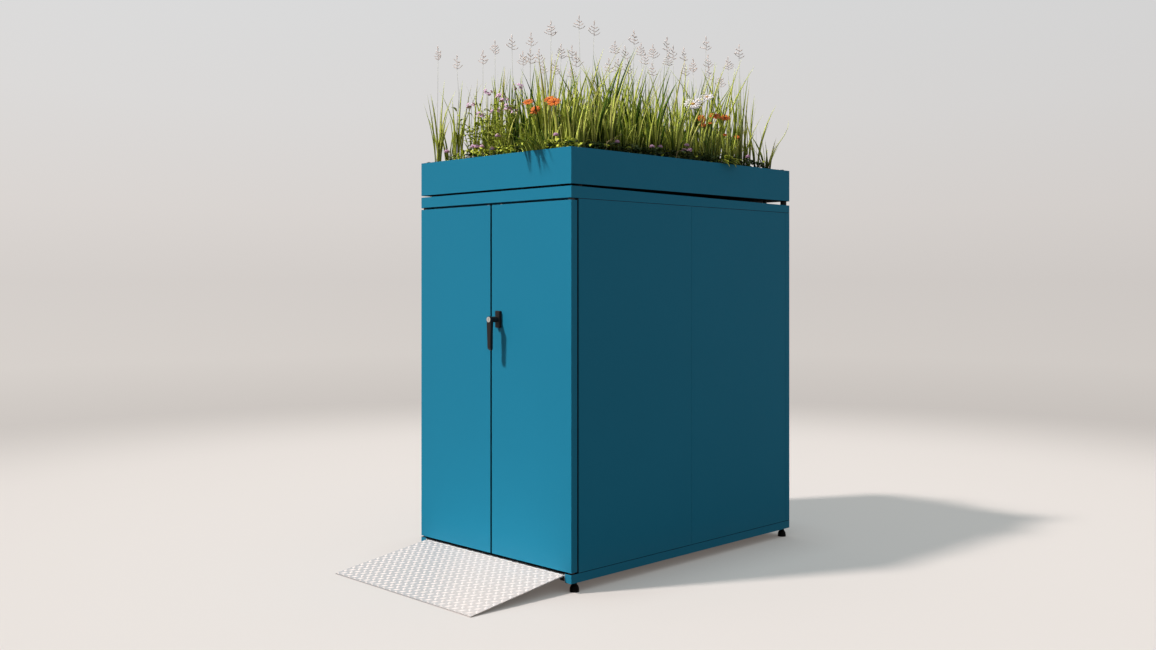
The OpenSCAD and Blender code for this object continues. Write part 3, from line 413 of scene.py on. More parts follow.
def galvanised_steel(colours):
    """Hot-dip galvanised sheet with crystal spangles and scuffs from wheels."""
    made = Finish("galvanised_steel", 0.06)
    grey = made.node("ShaderNodeSeparateColor", {0: made.cells(70.0, output=1)})
    scuff = made.noise(26.0, 5.0, 0.7, (4.0, 0.6, 1.0)).step(0.6, 0.74)
    sheet = made.mix(0.5 * scuff, made.mix(grey, *tones(colours.zinc, 0.10)), (0.72, 0.72, 0.71))
    # Painted shade: a black band wraps the sill's edge and runs back under the doors, where the gap under
    # them lies
    y = made.axis("Y")
    z = made.height()
    under_doors = 1 - y.step(DOOR_HIGH.y + 0.006, DOOR_HIGH.y + 0.007)
    top = z.step(FLOOR_HIGH.z - 0.0004, FLOOR_HIGH.z - 0.0001) * under_doors
    edge = 1 - y.step(FLOOR_LOW.y + 0.0002, FLOOR_LOW.y + 0.0006)
    painted_shade = (top + edge * z.step(FLOOR_LOW.z + 0.0002, FLOOR_LOW.z + 0.0004)).clamp()
    made.set("Metallic", 1 - painted_shade)
    colour = made.mix(painted_shade, sheet, shade(colours.plastic, PAINTED_SHADE_SHARE))
    rough = 0.30 + 0.22 * grey + 0.12 * scuff + 0.3 * painted_shade
    return made.surface(colour, rough, made.cells(70.0, "DISTANCE_TO_EDGE"), 0.0001, 0.3)


def tread_plate(colours):
    """Rolled aluminium chequer plate with fine rolling lines, and painted shade in the hollows between the
    treads.
    """
    made = Finish("tread_plate", 0.3, 0.12)
    rolled = made.noise(900.0, 3.0, 0.6, (0.05, 1.0, 1.0))
    stain = made.noise(11.0, 4.0, 0.6)
    base = made.mix(0.6 * rolled + 0.4 * stain, *tones(colours.aluminium, 0.05))
    lean = math.radians(RAMP_LEAN)
    y = made.axis("Y")
    raised = (made.height() - RAMP_AXIS[1]) * math.cos(lean) - (y - RAMP_AXIS[0]) * math.sin(lean)
    # Painted shade: the hollows below the tops of the treads take a darker colour
    hollow = 1 - raised.step(TREAD_FOOT + 0.00005, TREAD_FOOT + 0.0004)
    # Painted light: the hollows' colour turns a cooler grey towards the camera's left
    painted_cool_light = 1 - (RIGHTWARD[0] * made.axis("X") + RIGHTWARD[1] * y).step(-0.68, -0.46)
    plate = made.mix(painted_cool_light, shade(colours.aluminium, 0.72), (0.425, 0.428, 0.440))
    # Painted highlight: a pale band along the edge at the hinge
    painted_edge_highlight = y.step(RAMP_HIGH.y - 0.0042, RAMP_HIGH.y - 0.0034)
    colour = made.mix(painted_edge_highlight, made.mix(0.85 * hollow, base, plate), (0.90, 0.92, 0.93))
    return made.surface(colour, 0.46 + 0.16 * stain + 0.08 * rolled, rolled, 0.00008, 0.5)


def foot_plastic(colours):
    """Matt moulded nylon with a fine spark texture and pale dust round the base."""
    made = Finish("foot_plastic", 0.05)
    grain = made.noise(1100.0, 2.0, 0.6)
    dust = (1 - made.height().step(0.0, 0.012)) * made.noise(160.0, 4.0, 0.7)
    colour = made.mix(0.06 * dust, shade(colours.plastic, FOOT_SHADE), (0.12, 0.11, 0.10))
    return made.surface(colour, 0.32 + 0.14 * grain, grain, 0.00015, 0.35)


def rubber(colours):
    """Dull black rubber with a faint grey bloom."""
    made = Finish("rubber", 0.3)
    bloom = made.noise(70.0, 5.0, 0.65)
    colour = made.mix(0.4 * bloom, colours.plastic, (0.045, 0.044, 0.043))
    return made.surface(colour, 0.72 + 0.16 * bloom, made.noise(1500.0, 3.0, 0.6), 0.00012, 0.4)


def moulded_plastic(colours):
    """Black moulded plastic of the bushes and spouts."""
    made = Finish("moulded_plastic")
    flow = made.noise(240.0, 3.0, 0.5, (1.0, 1.0, 0.2))
    colour = made.mix(flow, *tones(colours.plastic, 0.3))
    return made.surface(colour, 0.38 + 0.12 * flow, flow, 0.00006, 0.4)


def handle_coat(colours):
    """Black satin coat on cast zinc, rubbed a little smoother along the grip."""
    made = Finish("handle_coat", 0.2)
    rub = made.noise(38.0, 4.0, 0.6, (1.0, 1.0, 0.35))
    colour = made.mix(0.5 * rub, colours.handle, (0.024, 0.019, 0.018))
    return made.surface(colour, 0.30 + 0.16 * rub, made.noise(1300.0, 2.0, 0.55), 0.0001, 0.3)


def lock_nickel(colours):
    """Nickel-plated lock face with fine scratches round the keyway."""
    made = Finish("lock_nickel", metallic=1.0)
    scratch = made.noise(2400.0, 3.0, 0.7, (1.0, 1.0, 0.08))
    colour = made.mix(scratch, *tones(colours.nickel, 0.10))
    return made.surface(colour, 0.20 + 0.18 * scratch, scratch, 0.00004, 0.5)


def drainage_mat(colours):
    """Black needled drainage fleece over a studded sheet."""
    made = Finish("drainage_mat", 0.2)
    fibre = made.noise(700.0, 5.0, 0.75, (1.0, 0.3, 1.0))
    colour = made.mix(fibre, *tones((0.035, 0.034, 0.033), 0.5))
    return made.surface(colour, 0.82 + 0.12 * fibre, fibre + made.cells(60.0), 0.0008, 0.5)


def bed_soil(colours):
    """Dark crumbly substrate with pale pumice grains."""
    made = Finish("bed_soil", 0.15)
    crumb = made.noise(75.0, 6.0, 0.7)
    grain = made.cells(210.0)
    pumice = (1 - grain.step(0.10, 0.2)) * made.noise(30.0, 2.0).step(0.45, 0.6)
    stops = [(0.3, (0.012, 0.008, 0.005)), (0.55, (0.040, 0.026, 0.016)), (0.8, (0.085, 0.060, 0.040))]
    colour = made.mix(0.7 * pumice, made.ramp(crumb, stops), (0.34, 0.31, 0.27))
    return made.surface(colour, 0.85 + 0.1 * crumb, crumb - 0.3 * grain, 0.006, 0.8)


def grass_leaf(colours):
    """Grass that runs from near black at the root, which is painted shade, to yellow-green, with pale
    margins, partly painted highlight, and fine veins.
    """
    made = Finish("grass_leaf", 0.09)
    along, tint, edge = made.growth()
    # Painted shade: both ramps run near black at the root, at the foot of the tufts; each blade takes the
    # darker or the lighter ramp by its tint
    lighter_stops = [
        (0.0, (0.010, 0.020, 0.002)), (0.12, (0.06, 0.09, 0.006)), (0.34, colours.grass_low),
        (0.66, colours.grass), (1.0, (0.33, 0.42, 0.06)),
    ]
    darker_stops = [
        (0.0, (0.004, 0.009, 0.001)), (0.2, (0.014, 0.032, 0.003)), (0.5, (0.042, 0.100, 0.006)),
        (1.0, (0.13, 0.22, 0.03)),
    ]
    body = made.mix(tint.step(0.15, 0.95), made.ramp(along, darker_stops), made.ramp(along, lighter_stops))
    # The pale margins are partly the blade's own edge and partly a painted highlight
    margin = 0.75 * edge * tint.step(0.25, 0.8)
    straw = tint.step(0.93, 0.96) * along
    blade = made.mix(0.7 * straw, made.mix(margin, body, colours.grass_margin), (0.46, 0.38, 0.17))
    # Behind the front edge little light reaches the foot of the grass
    behind = made.axis("Y").step(SOIL_LOW.y + 0.03, SOIL_LOW.y + 0.16)
    deep = (1 - made.height().step(RIM_Z, RIM_Z + 0.09)) * behind
    colour = made.mix(0.88 * deep, blade, (0.004, 0.011, 0.001))
    veins = made.noise(500.0, 2.0, 0.5, (1.0, 1.0, 0.04))
    return made.surface(colour, 0.42 + 0.2 * made.noise(60.0, 3.0, 0.6), veins, 0.0002, 0.5)


def leaf(name, dark, light, roughness=0.45):
    """A broad leaf or a petal: darker at its root, lighter at its edge, veined."""
    made = Finish(name, 0.3)
    along, tint, edge = made.growth()
    blush = (0.65 * along + 0.35 * tint + 0.2 * edge).clamp()
    vein = made.noise(420.0, 3.0, 0.6)
    colour = made.mix(blush, made.mix(0.4 * vein, dark, light), light)
    return made.surface(colour, roughness + 0.15 * vein, vein, 0.0002, 0.5)


# Which finish each of the record's material slots gets
FINISHES = {
    "blue_powder_coat": blue_coat,
    "black_painted_steel": black_steel,
    "zinc_plated_steel": zinc_steel,
    "galvanised_floor": galvanised_steel,
    "tread_aluminium": tread_plate,
    "black_foot_plastic": foot_plastic,
    "black_rubber": rubber,
    "black_plastic": moulded_plastic,
    "handle_black": handle_coat,
    "lock_nickel": lock_nickel,
    "drainage_plastic": drainage_mat,
    "soil": bed_soil,
    "plants": grass_leaf,
}

# Nodes whose finish differs from the rest of their slot in some places
OWN_FINISHES = {
    "door_left": door_coat,
    "door_right": door_coat,
    "base_rail_left": rail_coat,
    "base_rail_right": rail_coat,
    "rail_end_caps": rail_coat,
    "planter_tray": tray_coat,
    "roof_cap": roof_coat,
    "ramp_guide_left": guide_steel,
    "ramp_guide_right": guide_steel,
}


def add_object(name, data):
    """Puts a new object into the scene."""
    made = bpy.data.objects.new(name, data)
    bpy.context.scene.collection.objects.link(made)
    return made


def smooth_mesh(name, points, faces, *materials):
    mesh = bpy.data.meshes.new(name)
    mesh.from_pydata(points, [], faces)
    mesh.polygons.foreach_set("use_smooth", [True] * len(mesh.polygons))
    for material in materials:
        mesh.materials.append(material)
    return mesh


def tube_faces(rows, count):
    """The faces between rings of as many points each, one row of faces after each ring named."""
    return [
        (i * count + k, i * count + (k + 1) % count, (i + 1) * count + (k + 1) % count, (i + 1) * count + k)
        for i in rows
        for k in range(count)
    ]


def corners(sides):
    """The angles of a ring's corners."""
    return [2 * math.pi * k / sides for k in range(sides)]


def shares(steps):
    """Even steps of the way from 0 to 1."""
    return [i / steps for i in range(steps + 1)]


class SheetMesh:
    """Gathers the faces of many small leaves, stems and petals into one object."""

    def __init__(self):
        self.points = []
        self.faces = []
        self.growth = []
        self.slots = []

    def add(self, points, faces, growth, slot=0):
        start = len(self.points)
        self.points.extend(points)
        self.faces.extend([tuple(start + i for i in face) for face in faces])
        self.growth.extend(growth)
        self.slots.extend([slot] * len(faces))

    def ring_tube(self, rings, tint, edges, slot=0):
        """Closed rings of as many points each, joined along and capped at both ends."""
        count = len(rings[0])
        last = len(rings) - 1
        faces = tube_faces(range(last), count)
        faces.append(tuple(reversed(range(count))))
        faces.append(tuple(last * count + k for k in range(count)))
        growth = [(t, tint, edge) for t in shares(last) for edge in edges]
        self.add([p for ring in rings for p in ring], faces, growth, slot)

    def build(self, name, *materials):
        """Makes the object, which stands for the planting and rides on the box."""
        mesh = smooth_mesh(name, self.points, self.faces, *materials)
        stored = mesh.attributes.new("growth", "FLOAT_VECTOR", "POINT")
        stored.data.foreach_set("vector", [v for g in self.growth for v in g])
        mesh.polygons.foreach_set("material_index", self.slots)
        mesh.update()
        made = add_object(name, mesh)
        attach(made, "root")
        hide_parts("planting")


def heading(turn, z=0.0):
    """A level step of one metre in a direction, with a rise of z."""
    return Vector((math.cos(turn), math.sin(turn), z))


def raised_by(z):
    return Vector((0.0, 0.0, z))


def square_to(axis):
    """Two directions square to an axis and to each other."""
    across = axis.orthogonal().normalized()
    return across, axis.cross(across)


def within(value, low, high):
    return min(max(value, low), high)


def keep_inside(point):
    """The point, drawn back to where foliage may reach."""
    x = within(point.x, LEAF_LOW[0], LEAF_HIGH[0])
    return Vector((x, within(point.y, LEAF_LOW[1], LEAF_HIGH[1]), point.z))


def arc(root, height, lean, turn, droop, t):
    """A point at t along a stem that rises from its root, leans out and droops."""
    out = lean * t**1.9
    rise = height * (t - droop * t**3)
    return keep_inside(root + Vector((out * math.cos(turn), out * math.sin(turn), rise)))


def add_blade(mesh, root, height, lean, turn, width, droop, tint, face):
    """A blade of grass with a shallow keel, widest in its lower half, closed at its tip."""
    flat = Vector((-math.sin(face), math.cos(face), 0.0))
    rings = []
    for t in shares(7):
        centre, ahead, behind = (
            arc(root, height, lean, turn, droop, at) for at in (t, min(1.0, t + 0.02), max(0.0, t - 0.02))
        )
        keel = flat.cross((ahead - behind).normalized()).normalized()
        half = 0.5 * width * (0.5 + 0.5 * min(1.0, t / 0.35)) * max(0.03, 1 - t**2.1)
        rings.append([centre - flat * half, centre + flat * half, centre + keel * half * 0.34])
    mesh.ring_tube(rings, tint, (1.0, 1.0, 0.0))


def add_tuft(mesh, rng, root, height, count, splay, width, tint):
    """A tuft of blades from one narrow base, which arch out as they rise."""
    for k in range(count):
        turn = 2 * math.pi * (k + rng.random()) / count
        spread = rng.uniform(0.001, 0.010)
        foot = root + Vector((spread * math.cos(turn), spread * math.sin(turn), 0.0))
        tall = height * (rng.uniform(0.5, 1.04) if k else 1.0)
        lean = tall * splay * rng.choice((0.5, 1.0, 1.6)) * rng.uniform(0.7, 1.3)
        add_blade(
            mesh, foot, tall, lean, turn, width * rng.uniform(0.72, 1.15), rng.uniform(0.0, 0.12),
            within(tint + rng.uniform(-0.4, 0.4), 0.0, 1.0), turn + math.pi / 2 + rng.uniform(-0.9, 0.9),
        )


def add_stem(mesh, points, radius, tint, slot=0):
    """A thin three-sided stem along a line of points, finer towards its end."""
    rings = []
    last = len(points) - 1
    for i, p in enumerate(points):
        across, other = square_to((points[min(i + 1, last)] - points[max(i - 1, 0)]).normalized())
        r = radius * (1 - 0.4 * (i / last))
        rings.append([p + across * r * math.cos(a) + other * r * math.sin(a) for a in corners(3)])
    mesh.ring_tube(rings, tint, [0.5] * 3, slot)


def add_bud(mesh, low, high, radius, tint, slot=0, sides=4):
    """A small closed spindle between two points: a spikelet, a bud or a seed."""
    across, other = square_to((high - low).normalized())
    middle = low.lerp(high, 0.42)
    ring = [middle + (across * math.cos(a) + other * math.sin(a)) * radius for a in corners(sides)]
    faces = [(0, 2 + (k + 1) % sides, 2 + k) for k in range(sides)]
    faces += [(1, 2 + k, 2 + (k + 1) % sides) for k in range(sides)]
    growth = [(0.0, tint, 0.0), (1.0, tint, 1.0)] + [(0.5, tint, 0.6)] * sides
    mesh.add([low, high, *ring], faces, growth, slot)


def add_leaf(mesh, base, direction, length, width, tint, slot, steps):
    """A broad pointed leaf, cupped along its middle and thin, with a closed underside."""
    along = direction.normalized()
    side = along.cross(raised_by(1.0))
    side = side.normalized() if side.length > 1e-4 else Vector((1.0, 0.0, 0.0))
    up = side.cross(along).normalized()
    thin = up * 0.0004
    rings = []
    for t in shares(steps):
        half = 0.5 * width * max(0.06, math.sin(math.pi * min(1.0, 0.12 + 0.88 * t)) ** 0.7)
        bend = up * length * (0.16 * math.sin(math.pi * t) - 0.10 * t * t)
        centre = base + along * length * t + bend
        lift = up * half * 0.25
        left, right = centre - side * half + lift, centre + side * half + lift
        rings.append([left, centre - thin, right, centre - thin * 3])
    mesh.ring_tube(rings, tint, (1.0, 0.2, 1.0, 0.0), slot)


def add_petal(mesh, base, along, side, length, width, tint):
    """One thin petal with a rounded end."""
    up = side.cross(along).normalized()
    thin = up * 0.0005
    rings = []
    for t in shares(4):
        bulge = 0.35 + 0.65 * math.sin(math.pi * min(1.0, 0.1 + 0.62 * t))
        half = 0.5 * width * bulge * (1.0 if t < 0.9 else 0.62)
        centre = base + along * length * t * 0.92 - up * length * 0.10 * t * t
        rings.append([centre - side * half, centre - thin, centre + side * half, centre + thin])
    mesh.ring_tube(rings, tint, (1.0, 0.0, 1.0, 0.0))


def add_disc_flower(mesh, centre, normal, diameter, petals, rng):
    """A flower with two rings of flat petals in slot 0 round a domed eye in slot 1."""
    normal = normal.normalized()
    across, other = square_to(normal)
    for ring in range(2):
        for k in range(petals):
            a = 2 * math.pi * (k + 0.5 * ring) / petals + rng.uniform(-0.06, 0.06)
            out = across * math.cos(a) + other * math.sin(a)
            aim = (out + normal * (0.1 + 0.12 * ring + rng.uniform(-0.06, 0.06))).normalized()
            reach = diameter / 2 * (1 - 0.12 * ring) * rng.uniform(0.9, 1.05)
            side = aim.cross(normal).normalized()
            base = centre + out * diameter * 0.08
            add_petal(mesh, base, aim, side, reach, reach * 2.6 / petals * 1.45, rng.random())
    low = centre - normal * diameter * 0.06
    add_bud(mesh, low, centre + normal * diameter * 0.10, diameter * 0.14, 0.5, 1, sides=8)


def add_ball(mesh, centre, radius, tint):
    """A flower head as a low ball of small florets."""
    rows = 5
    for row in range(rows):
        tilt = math.pi * (row + 0.5) / rows * 0.62
        count = max(1, int(9 * math.sin(tilt) * 1.5))
        for k in range(count):
            a = 2 * math.pi * (k + 0.5 * (row % 2)) / count
            out = Vector((math.sin(tilt) * math.cos(a), math.sin(tilt) * math.sin(a), math.cos(tilt) * 0.85))
            add_bud(mesh, centre + out * radius * 0.25, centre + out * radius, radius * 0.26, tint)


def stem_to(mesh, head, rng, radius, slot, lean=0.03):
    """A stem from the soil to a flower's head."""
    x = head.x + rng.uniform(-lean, lean)
    y = head.y + rng.uniform(-lean, lean)
    root = Vector((x, y, SOIL_Z - ROOT_DEPTH))
    root.x = within(root.x, SOIL_LOW.x + 0.012, SOIL_HIGH.x - 0.012)
    root.y = within(root.y, SOIL_LOW.y + 0.012, SOIL_HIGH.y - 0.012)
    bow = [Vector((0.008 * math.sin(math.pi * k / 5), 0.0, 0.0)) for k in range(6)]
    add_stem(mesh, [root.lerp(head, k / 5) + bow[k] for k in range(6)], radius, rng.random(), slot)


def view_axes(view):
    """The level directions ahead of the camera and to its right."""
    right = heading(view.camera_turn)
    return Vector((-right.y, right.x, 0.0)), right


def camera_ray(view, u, v):
    """The camera's place and the direction of a pixel, one metre deep."""
    ahead, right = view_axes(view)
    scale = view.lens / SENSOR * view.frame_w
    horizon = view.frame_h / 2 + view.shift * view.frame_w
    ray = ahead + right * ((u - view.frame_w / 2) / scale) + raised_by((horizon - v) / scale)
    return Vector(view.camera_at), ray


def column_of(view, point):
    """The pixel column in which a point is seen."""
    ahead, right = view_axes(view)
    way = point - Vector(view.camera_at)
    return view.frame_w / 2 + view.lens / SENSOR * view.frame_w * way.dot(right) / way.dot(ahead)


def height_at(view, point, v):
    """How high over the ground a pixel row lies above a point of the bed."""
    origin, ray = camera_ray(view, 0, v)
    return origin.z + ray.z * (point - origin).dot(view_axes(view)[0])


def over_bed(point, inset):
    """Whether a point lies over the soil, at least this far in from its edges."""
    across = SOIL_LOW.x + inset < point.x < SOIL_HIGH.x - inset
    return across and SOIL_LOW.y + inset < point.y < SOIL_HIGH.y - inset


def bed_on_ray(view, u, share, inset=0.02):
    """A point of the soil on the line of sight through a pixel column."""
    origin, ray = camera_ray(view, u, 0)
    line = [origin + ray * (3.2 + 0.005 * i) for i in range(500)]
    good = [p for p in line if over_bed(p, inset)]
    p = good[int(share * (len(good) - 1))]
    return Vector((p.x, p.y, SOIL_Z - ROOT_DEPTH))


def spot_on_ray(view, u, v, share, inset=0.035, low=0.30, high=0.56):
    """Where the ray through a pixel passes over the bed, at a height that a stalk can have."""
    origin, ray = camera_ray(view, u, v)
    line = [origin + ray * (3.4 + 0.005 * i) for i in range(400)]
    good = [p for p in line if over_bed(p, inset) and RIM_Z + low < p.z < RIM_Z + high]
    if not good:
        raise RuntimeError(f"the ray through pixel {u}, {v} passes no spot of the bed")
    return good[int(share * (len(good) - 1))]


def bed_spot(rng, inset):
    """A random point of the soil inside the folded rim."""
    x = rng.uniform(SOIL_LOW.x + inset, SOIL_HIGH.x - inset)
    y = rng.uniform(SOIL_LOW.y + inset, SOIL_HIGH.y - inset)
    return Vector((x, y, SOIL_Z - LIGHT_ROOT_DEPTH))


def colour_setting(name, description, default):
    return bpy.props.FloatVectorProperty(
        name=name, description=description, subtype="COLOR", size=3, min=0.0, max=1.0, default=default
    )


def number_setting(name, description, default, **more):
    return bpy.props.FloatProperty(name=name, description=description, default=default, **more)


def length_setting(name, description, low, high, default):
    return number_setting(name, description, default, unit="LENGTH", min=low, max=high)


def count_setting(name, description, low, high, default):
    return bpy.props.IntProperty(name=name, description=description, min=low, max=high, default=default)


class FinishColours(bpy.types.PropertyGroup):
    """Colours of the finishes"""

    blue: colour_setting("Powder coat", "Colour of the sheet-steel skins", (0.0162, 0.235, 0.385))
    black: colour_setting("Black paint", "Colour of the inner frame", (0.020, 0.020, 0.022))
    zinc: colour_setting("Zinc", "Colour of plated and galvanised steel", (0.58, 0.60, 0.62))
    aluminium: colour_setting("Aluminium", "Colour of the ramp", (0.865, 0.785, 0.750))
    plastic: colour_setting("Black plastic", "Colour of feet, bushes and spouts", (0.010, 0.010, 0.010))
    handle: colour_setting("Handle", "Colour of the lever and its plate", (0.014, 0.011, 0.011))
    nickel: colour_setting("Lock face", "Colour of the lock's plating", (0.72, 0.70, 0.66))
    grass: colour_setting("Grass", "Colour of a blade's upper half", (0.45, 0.54, 0.030))
    grass_low: colour_setting("Grass base", "Colour of a blade's lower half", (0.24, 0.32, 0.010))
    grass_margin: colour_setting("Grass margin", "Colour of a blade's pale edges", (0.78, 0.82, 0.17))


class PlantingSizes(bpy.types.PropertyGroup):
    """Sizes of the plants on the roof"""

    rows_x: count_setting("Tufts across", "Tall tufts across the tray", 3, 14, 9)
    rows_y: count_setting("Tufts along", "Tall tufts along the tray", 4, 22, 15)
    blades: count_setting("Blades", "Blades in one tall tuft", 4, 40, 11)
    grass_height: length_setting("Grass height", "Height of tall grass above the soil", 0.15, 0.45, 0.385)
    blade_width: length_setting("Blade width", "Width of a blade of grass", 0.003, 0.016, 0.0118)
    panicle: length_setting("Seed head", "Height of a seed head", 0.03, 0.07, 0.050)
    flower: length_setting("Flower", "Diameter of an orange or white flower", 0.02, 0.06, 0.042)
    leaflets: count_setting("Ground leaves", "Leaves of the ground cover", 200, 4000, 2400)


class StudioSettings(bpy.types.PropertyGroup):
    """Light, floor and camera"""

    sun: number_setting("Sun", "Strength of the sun lamp", 3.55, min=0.0, max=10.0)
    sun_angle: number_setting(
        "Sun size", "Angle of the sun's disc, which softens shadows", math.radians(5.0),
        subtype="ANGLE", min=0.0, max=0.5,
    )
    sun_colour: colour_setting("Sun colour", "Colour of the sun lamp", (1.0, 0.965, 0.93))
    sky: colour_setting("Sky", "Light from the sky on the object", (0.345, 0.362, 0.367))
    floor: colour_setting("Floor", "Colour of the floor near the object", (0.462, 0.405, 0.380))
    floor_glow: colour_setting("Floor glow", "Light that keeps the floor's shadows pale", (0.28, 0.3, 0.298))
    camera_at: bpy.props.FloatVectorProperty(
        name="Camera", description="Place of the camera", subtype="XYZ", unit="LENGTH", size=3,
        default=(3.0839, -3.2553, 1.0253),
    )
    camera_turn: number_setting(
        "Camera turn", "Turn of the camera about the vertical", math.radians(45.11), subtype="ANGLE"
    )
    lens: number_setting("Lens", "Focal length on a sensor 36 mm wide", 36.03, min=10.0, max=200.0)
    shift: number_setting("Shift", "Vertical shift of the lens, in frame widths", -0.0393)
    frame_w: count_setting("Frame width", "Pixels across the frame", 16, 8192, 1156)
    frame_h: count_setting("Frame height", "Pixels down the frame", 16, 8192, 650)


class StorageBoxSettings(bpy.types.PropertyGroup):
    """All settings of the storage box"""

    colours: bpy.props.PointerProperty(type=FinishColours, name="Colours", description="Finish colours")
    plants: bpy.props.PointerProperty(type=PlantingSizes, name="Plants", description="Plant sizes")
    studio: bpy.props.PointerProperty(type=StudioSettings, name="Studio", description="Light and camera")


class STORAGEBOX_OT_finishes(bpy.types.Operator):
    """Give every CAD node the finish of its material slot"""

    bl_idname = "storage_box.finishes"
    bl_label = "Finish the steelwork"

    def execute(self, context):
        made = {}
        for row in frame["record"]["subparts"]:
            finish = OWN_FINISHES.get(row["node"], FINISHES[row["material_slot"]])
            if finish not in made:
                made[finish] = finish(context.scene.storage_box.colours)
            node = frame["nodes"][row["node"]]
            node.data.materials.clear()
            node.data.materials.append(made[finish])
        return {"FINISHED"}


class STORAGEBOX_OT_grass(bpy.types.Operator):
    """Plant the tufts of grass"""

    bl_idname = "storage_box.grass"
    bl_label = "Plant the grass"

    def execute(self, context):
        view = context.scene.storage_box.studio
        sizes = context.scene.storage_box.plants
        rng = random.Random(4)
        mesh = SheetMesh()
        for u, share, v, blades, splay in CLEAR_TUFTS:
            root = bed_on_ray(view, u, share)
            height = 1.05 * (height_at(view, root, v) - root.z)
            at_end = not THICK_TUFTS[0] < u < THICK_TUFTS[1]
            width = sizes.blade_width * (0.8 if at_end else 1.0)
            tint = rng.uniform(0.8, 1.0) if at_end else rng.uniform(0.3, 0.9)
            add_tuft(mesh, rng, root, height, blades, splay, width, tint)
        self.sow(mesh, rng, sizes, sizes.rows_x, sizes.rows_y, True)
        self.sow(mesh, rng, sizes, 2 * sizes.rows_x, 2 * sizes.rows_y, False)
        # Blades that lean out over the front rim and throw their shadow on the tray
        for u in LEANING_BLADES:
            root = bed_on_ray(view, u, 0.0, 0.008)
            turn = -math.pi / 2 + rng.uniform(-0.4, 0.4)
            add_blade(
                mesh, root, rng.uniform(0.10, 0.15), rng.uniform(0.055, 0.115), turn,
                sizes.blade_width * rng.uniform(0.8, 1.3), rng.uniform(0.42, 0.58),
                rng.uniform(0.5, 0.9), turn,
            )
        mesh.build("grass_blades", bpy.data.materials["grass_leaf"])
        return {"FINISHED"}

    def sow(self, mesh, rng, sizes, across, along, tall):
        """A loose grid of tall or low tufts, sparser towards the tray's left front and right rear corner."""
        margin = 0.04
        width = SOIL_HIGH.x - SOIL_LOW.x - 2 * margin
        depth = SOIL_HIGH.y - SOIL_LOW.y - 2 * margin
        for i in range(across):
            for j in range(along):
                x = SOIL_LOW.x + margin + width * (i + 0.5 + rng.uniform(-0.45, 0.45)) / across
                y = SOIL_LOW.y + margin + depth * (j + 0.5 + rng.uniform(-0.45, 0.45)) / along
                room = min(1.0, *(math.hypot(x - cx, y - cy) / reach for cx, cy, reach in SPARSE_CORNERS))
                if rng.random() > room * room * 1.05:
                    continue
                root = Vector((x, y, SOIL_Z - ROOT_DEPTH))
                if tall:
                    height = sizes.grass_height * rng.uniform(0.66, 1.10) * (0.78 + 0.22 * room)
                    tint = rng.uniform(0.15, 0.95)
                    add_tuft(mesh, rng, root, height, sizes.blades, 0.2, sizes.blade_width, tint)
                else:
                    height = sizes.grass_height * rng.uniform(0.30, 0.66)
                    tint = rng.uniform(0.3, 1.0)
                    add_tuft(mesh, rng, root, height, sizes.blades // 2, 0.2, sizes.blade_width * 0.8, tint)


class STORAGEBOX_OT_seed_heads(bpy.types.Operator):
    """Raise the stalks with open seed heads"""

    bl_idname = "storage_box.seed_heads"
    bl_label = "Raise the seed heads"

    def execute(self, context):
        view = context.scene.storage_box.studio
        rng = random.Random(9)
        mesh = SheetMesh()
        tall = context.scene.storage_box.plants.panicle
        for n, (u, v) in enumerate(SEED_HEADS):
            tip = spot_on_ray(view, u, v, (0.35, 0.6, 0.15, 0.8)[n % 4]) + raised_by(tall / 2)
            base = tip - raised_by(tall)
            x, y = (place + rng.uniform(-0.02, 0.02) for place in (base.x, base.y))
            root = Vector((x, y, SOIL_Z - ROOT_DEPTH))
            root.x = within(root.x, SOIL_LOW.x + 0.02, SOIL_HIGH.x - 0.02)
            bow = Vector((rng.uniform(-0.006, 0.006), rng.uniform(-0.006, 0.006), 0.0))
            line = [root.lerp(base, k / 6) + bow * math.sin(math.pi * (k / 6)) for k in range(7)]
            add_stem(mesh, line, 0.0008, 0.3, 1)
            add_stem(mesh, [base, base.lerp(tip, 0.5), tip], 0.0008, 0.4)
            facing = view.camera_turn + rng.uniform(-0.6, 0.6)
            self.add_twigs(mesh, rng, base, tip, tall, facing, 3 + (n % 3 == 0))
            for share in (0.06, 0.28, 0.52, 0.74, 0.84, 0.90, 0.97):
                at = base.lerp(tip, share)
                aim = Vector((rng.uniform(-0.3, 0.3), rng.uniform(-0.3, 0.3), 1.0)).normalized()
                add_bud(mesh, at, at + aim * 0.0085, 0.0020 if share < 0.9 else 0.0016, rng.random() * 0.5)
        husk = leaf("seed_husk", (0.64, 0.46, 0.40), (0.88, 0.72, 0.65), 0.7)
        stalk = leaf("seed_stalk", (0.34, 0.37, 0.17), (0.64, 0.62, 0.46), 0.7)
        mesh.build("seed_panicles", husk, stalk)
        return {"FINISHED"}

    def add_twigs(self, mesh, rng, base, tip, tall, facing, pairs):
        """Pairs of curved side twigs with spikelets, shorter towards the tip."""
        for w in range(2 * pairs):
            pair, hand = divmod(w, 2)
            level = base.lerp(tip, 0.04 + 0.72 * (pair + 0.42 * hand + rng.uniform(-0.1, 0.1)) / pairs)
            reach = tall * (0.42 - 0.24 * pair / (pairs - 1)) * rng.uniform(0.65, 1.1)
            out = heading(facing + math.pi * hand + rng.uniform(-0.5, 0.5))
            lift = rng.uniform(0.15, 0.75)
            points = [
                level + out * reach * t + raised_by(reach * lift * (t**2.2 - 0.12 * t))
                for t in (0.0, 0.35, 0.7, 1.0)
            ]
            add_stem(mesh, points, 0.0010, rng.random())
            for at in (points[1], points[2], points[2].lerp(points[3], 0.5), points[3]):
                aim = (out * 0.8 + raised_by(rng.uniform(0.2, 1.2))).normalized()
                add_bud(mesh, at - aim * 0.001, at + aim * rng.uniform(0.004, 0.0085), 0.0015, rng.random())


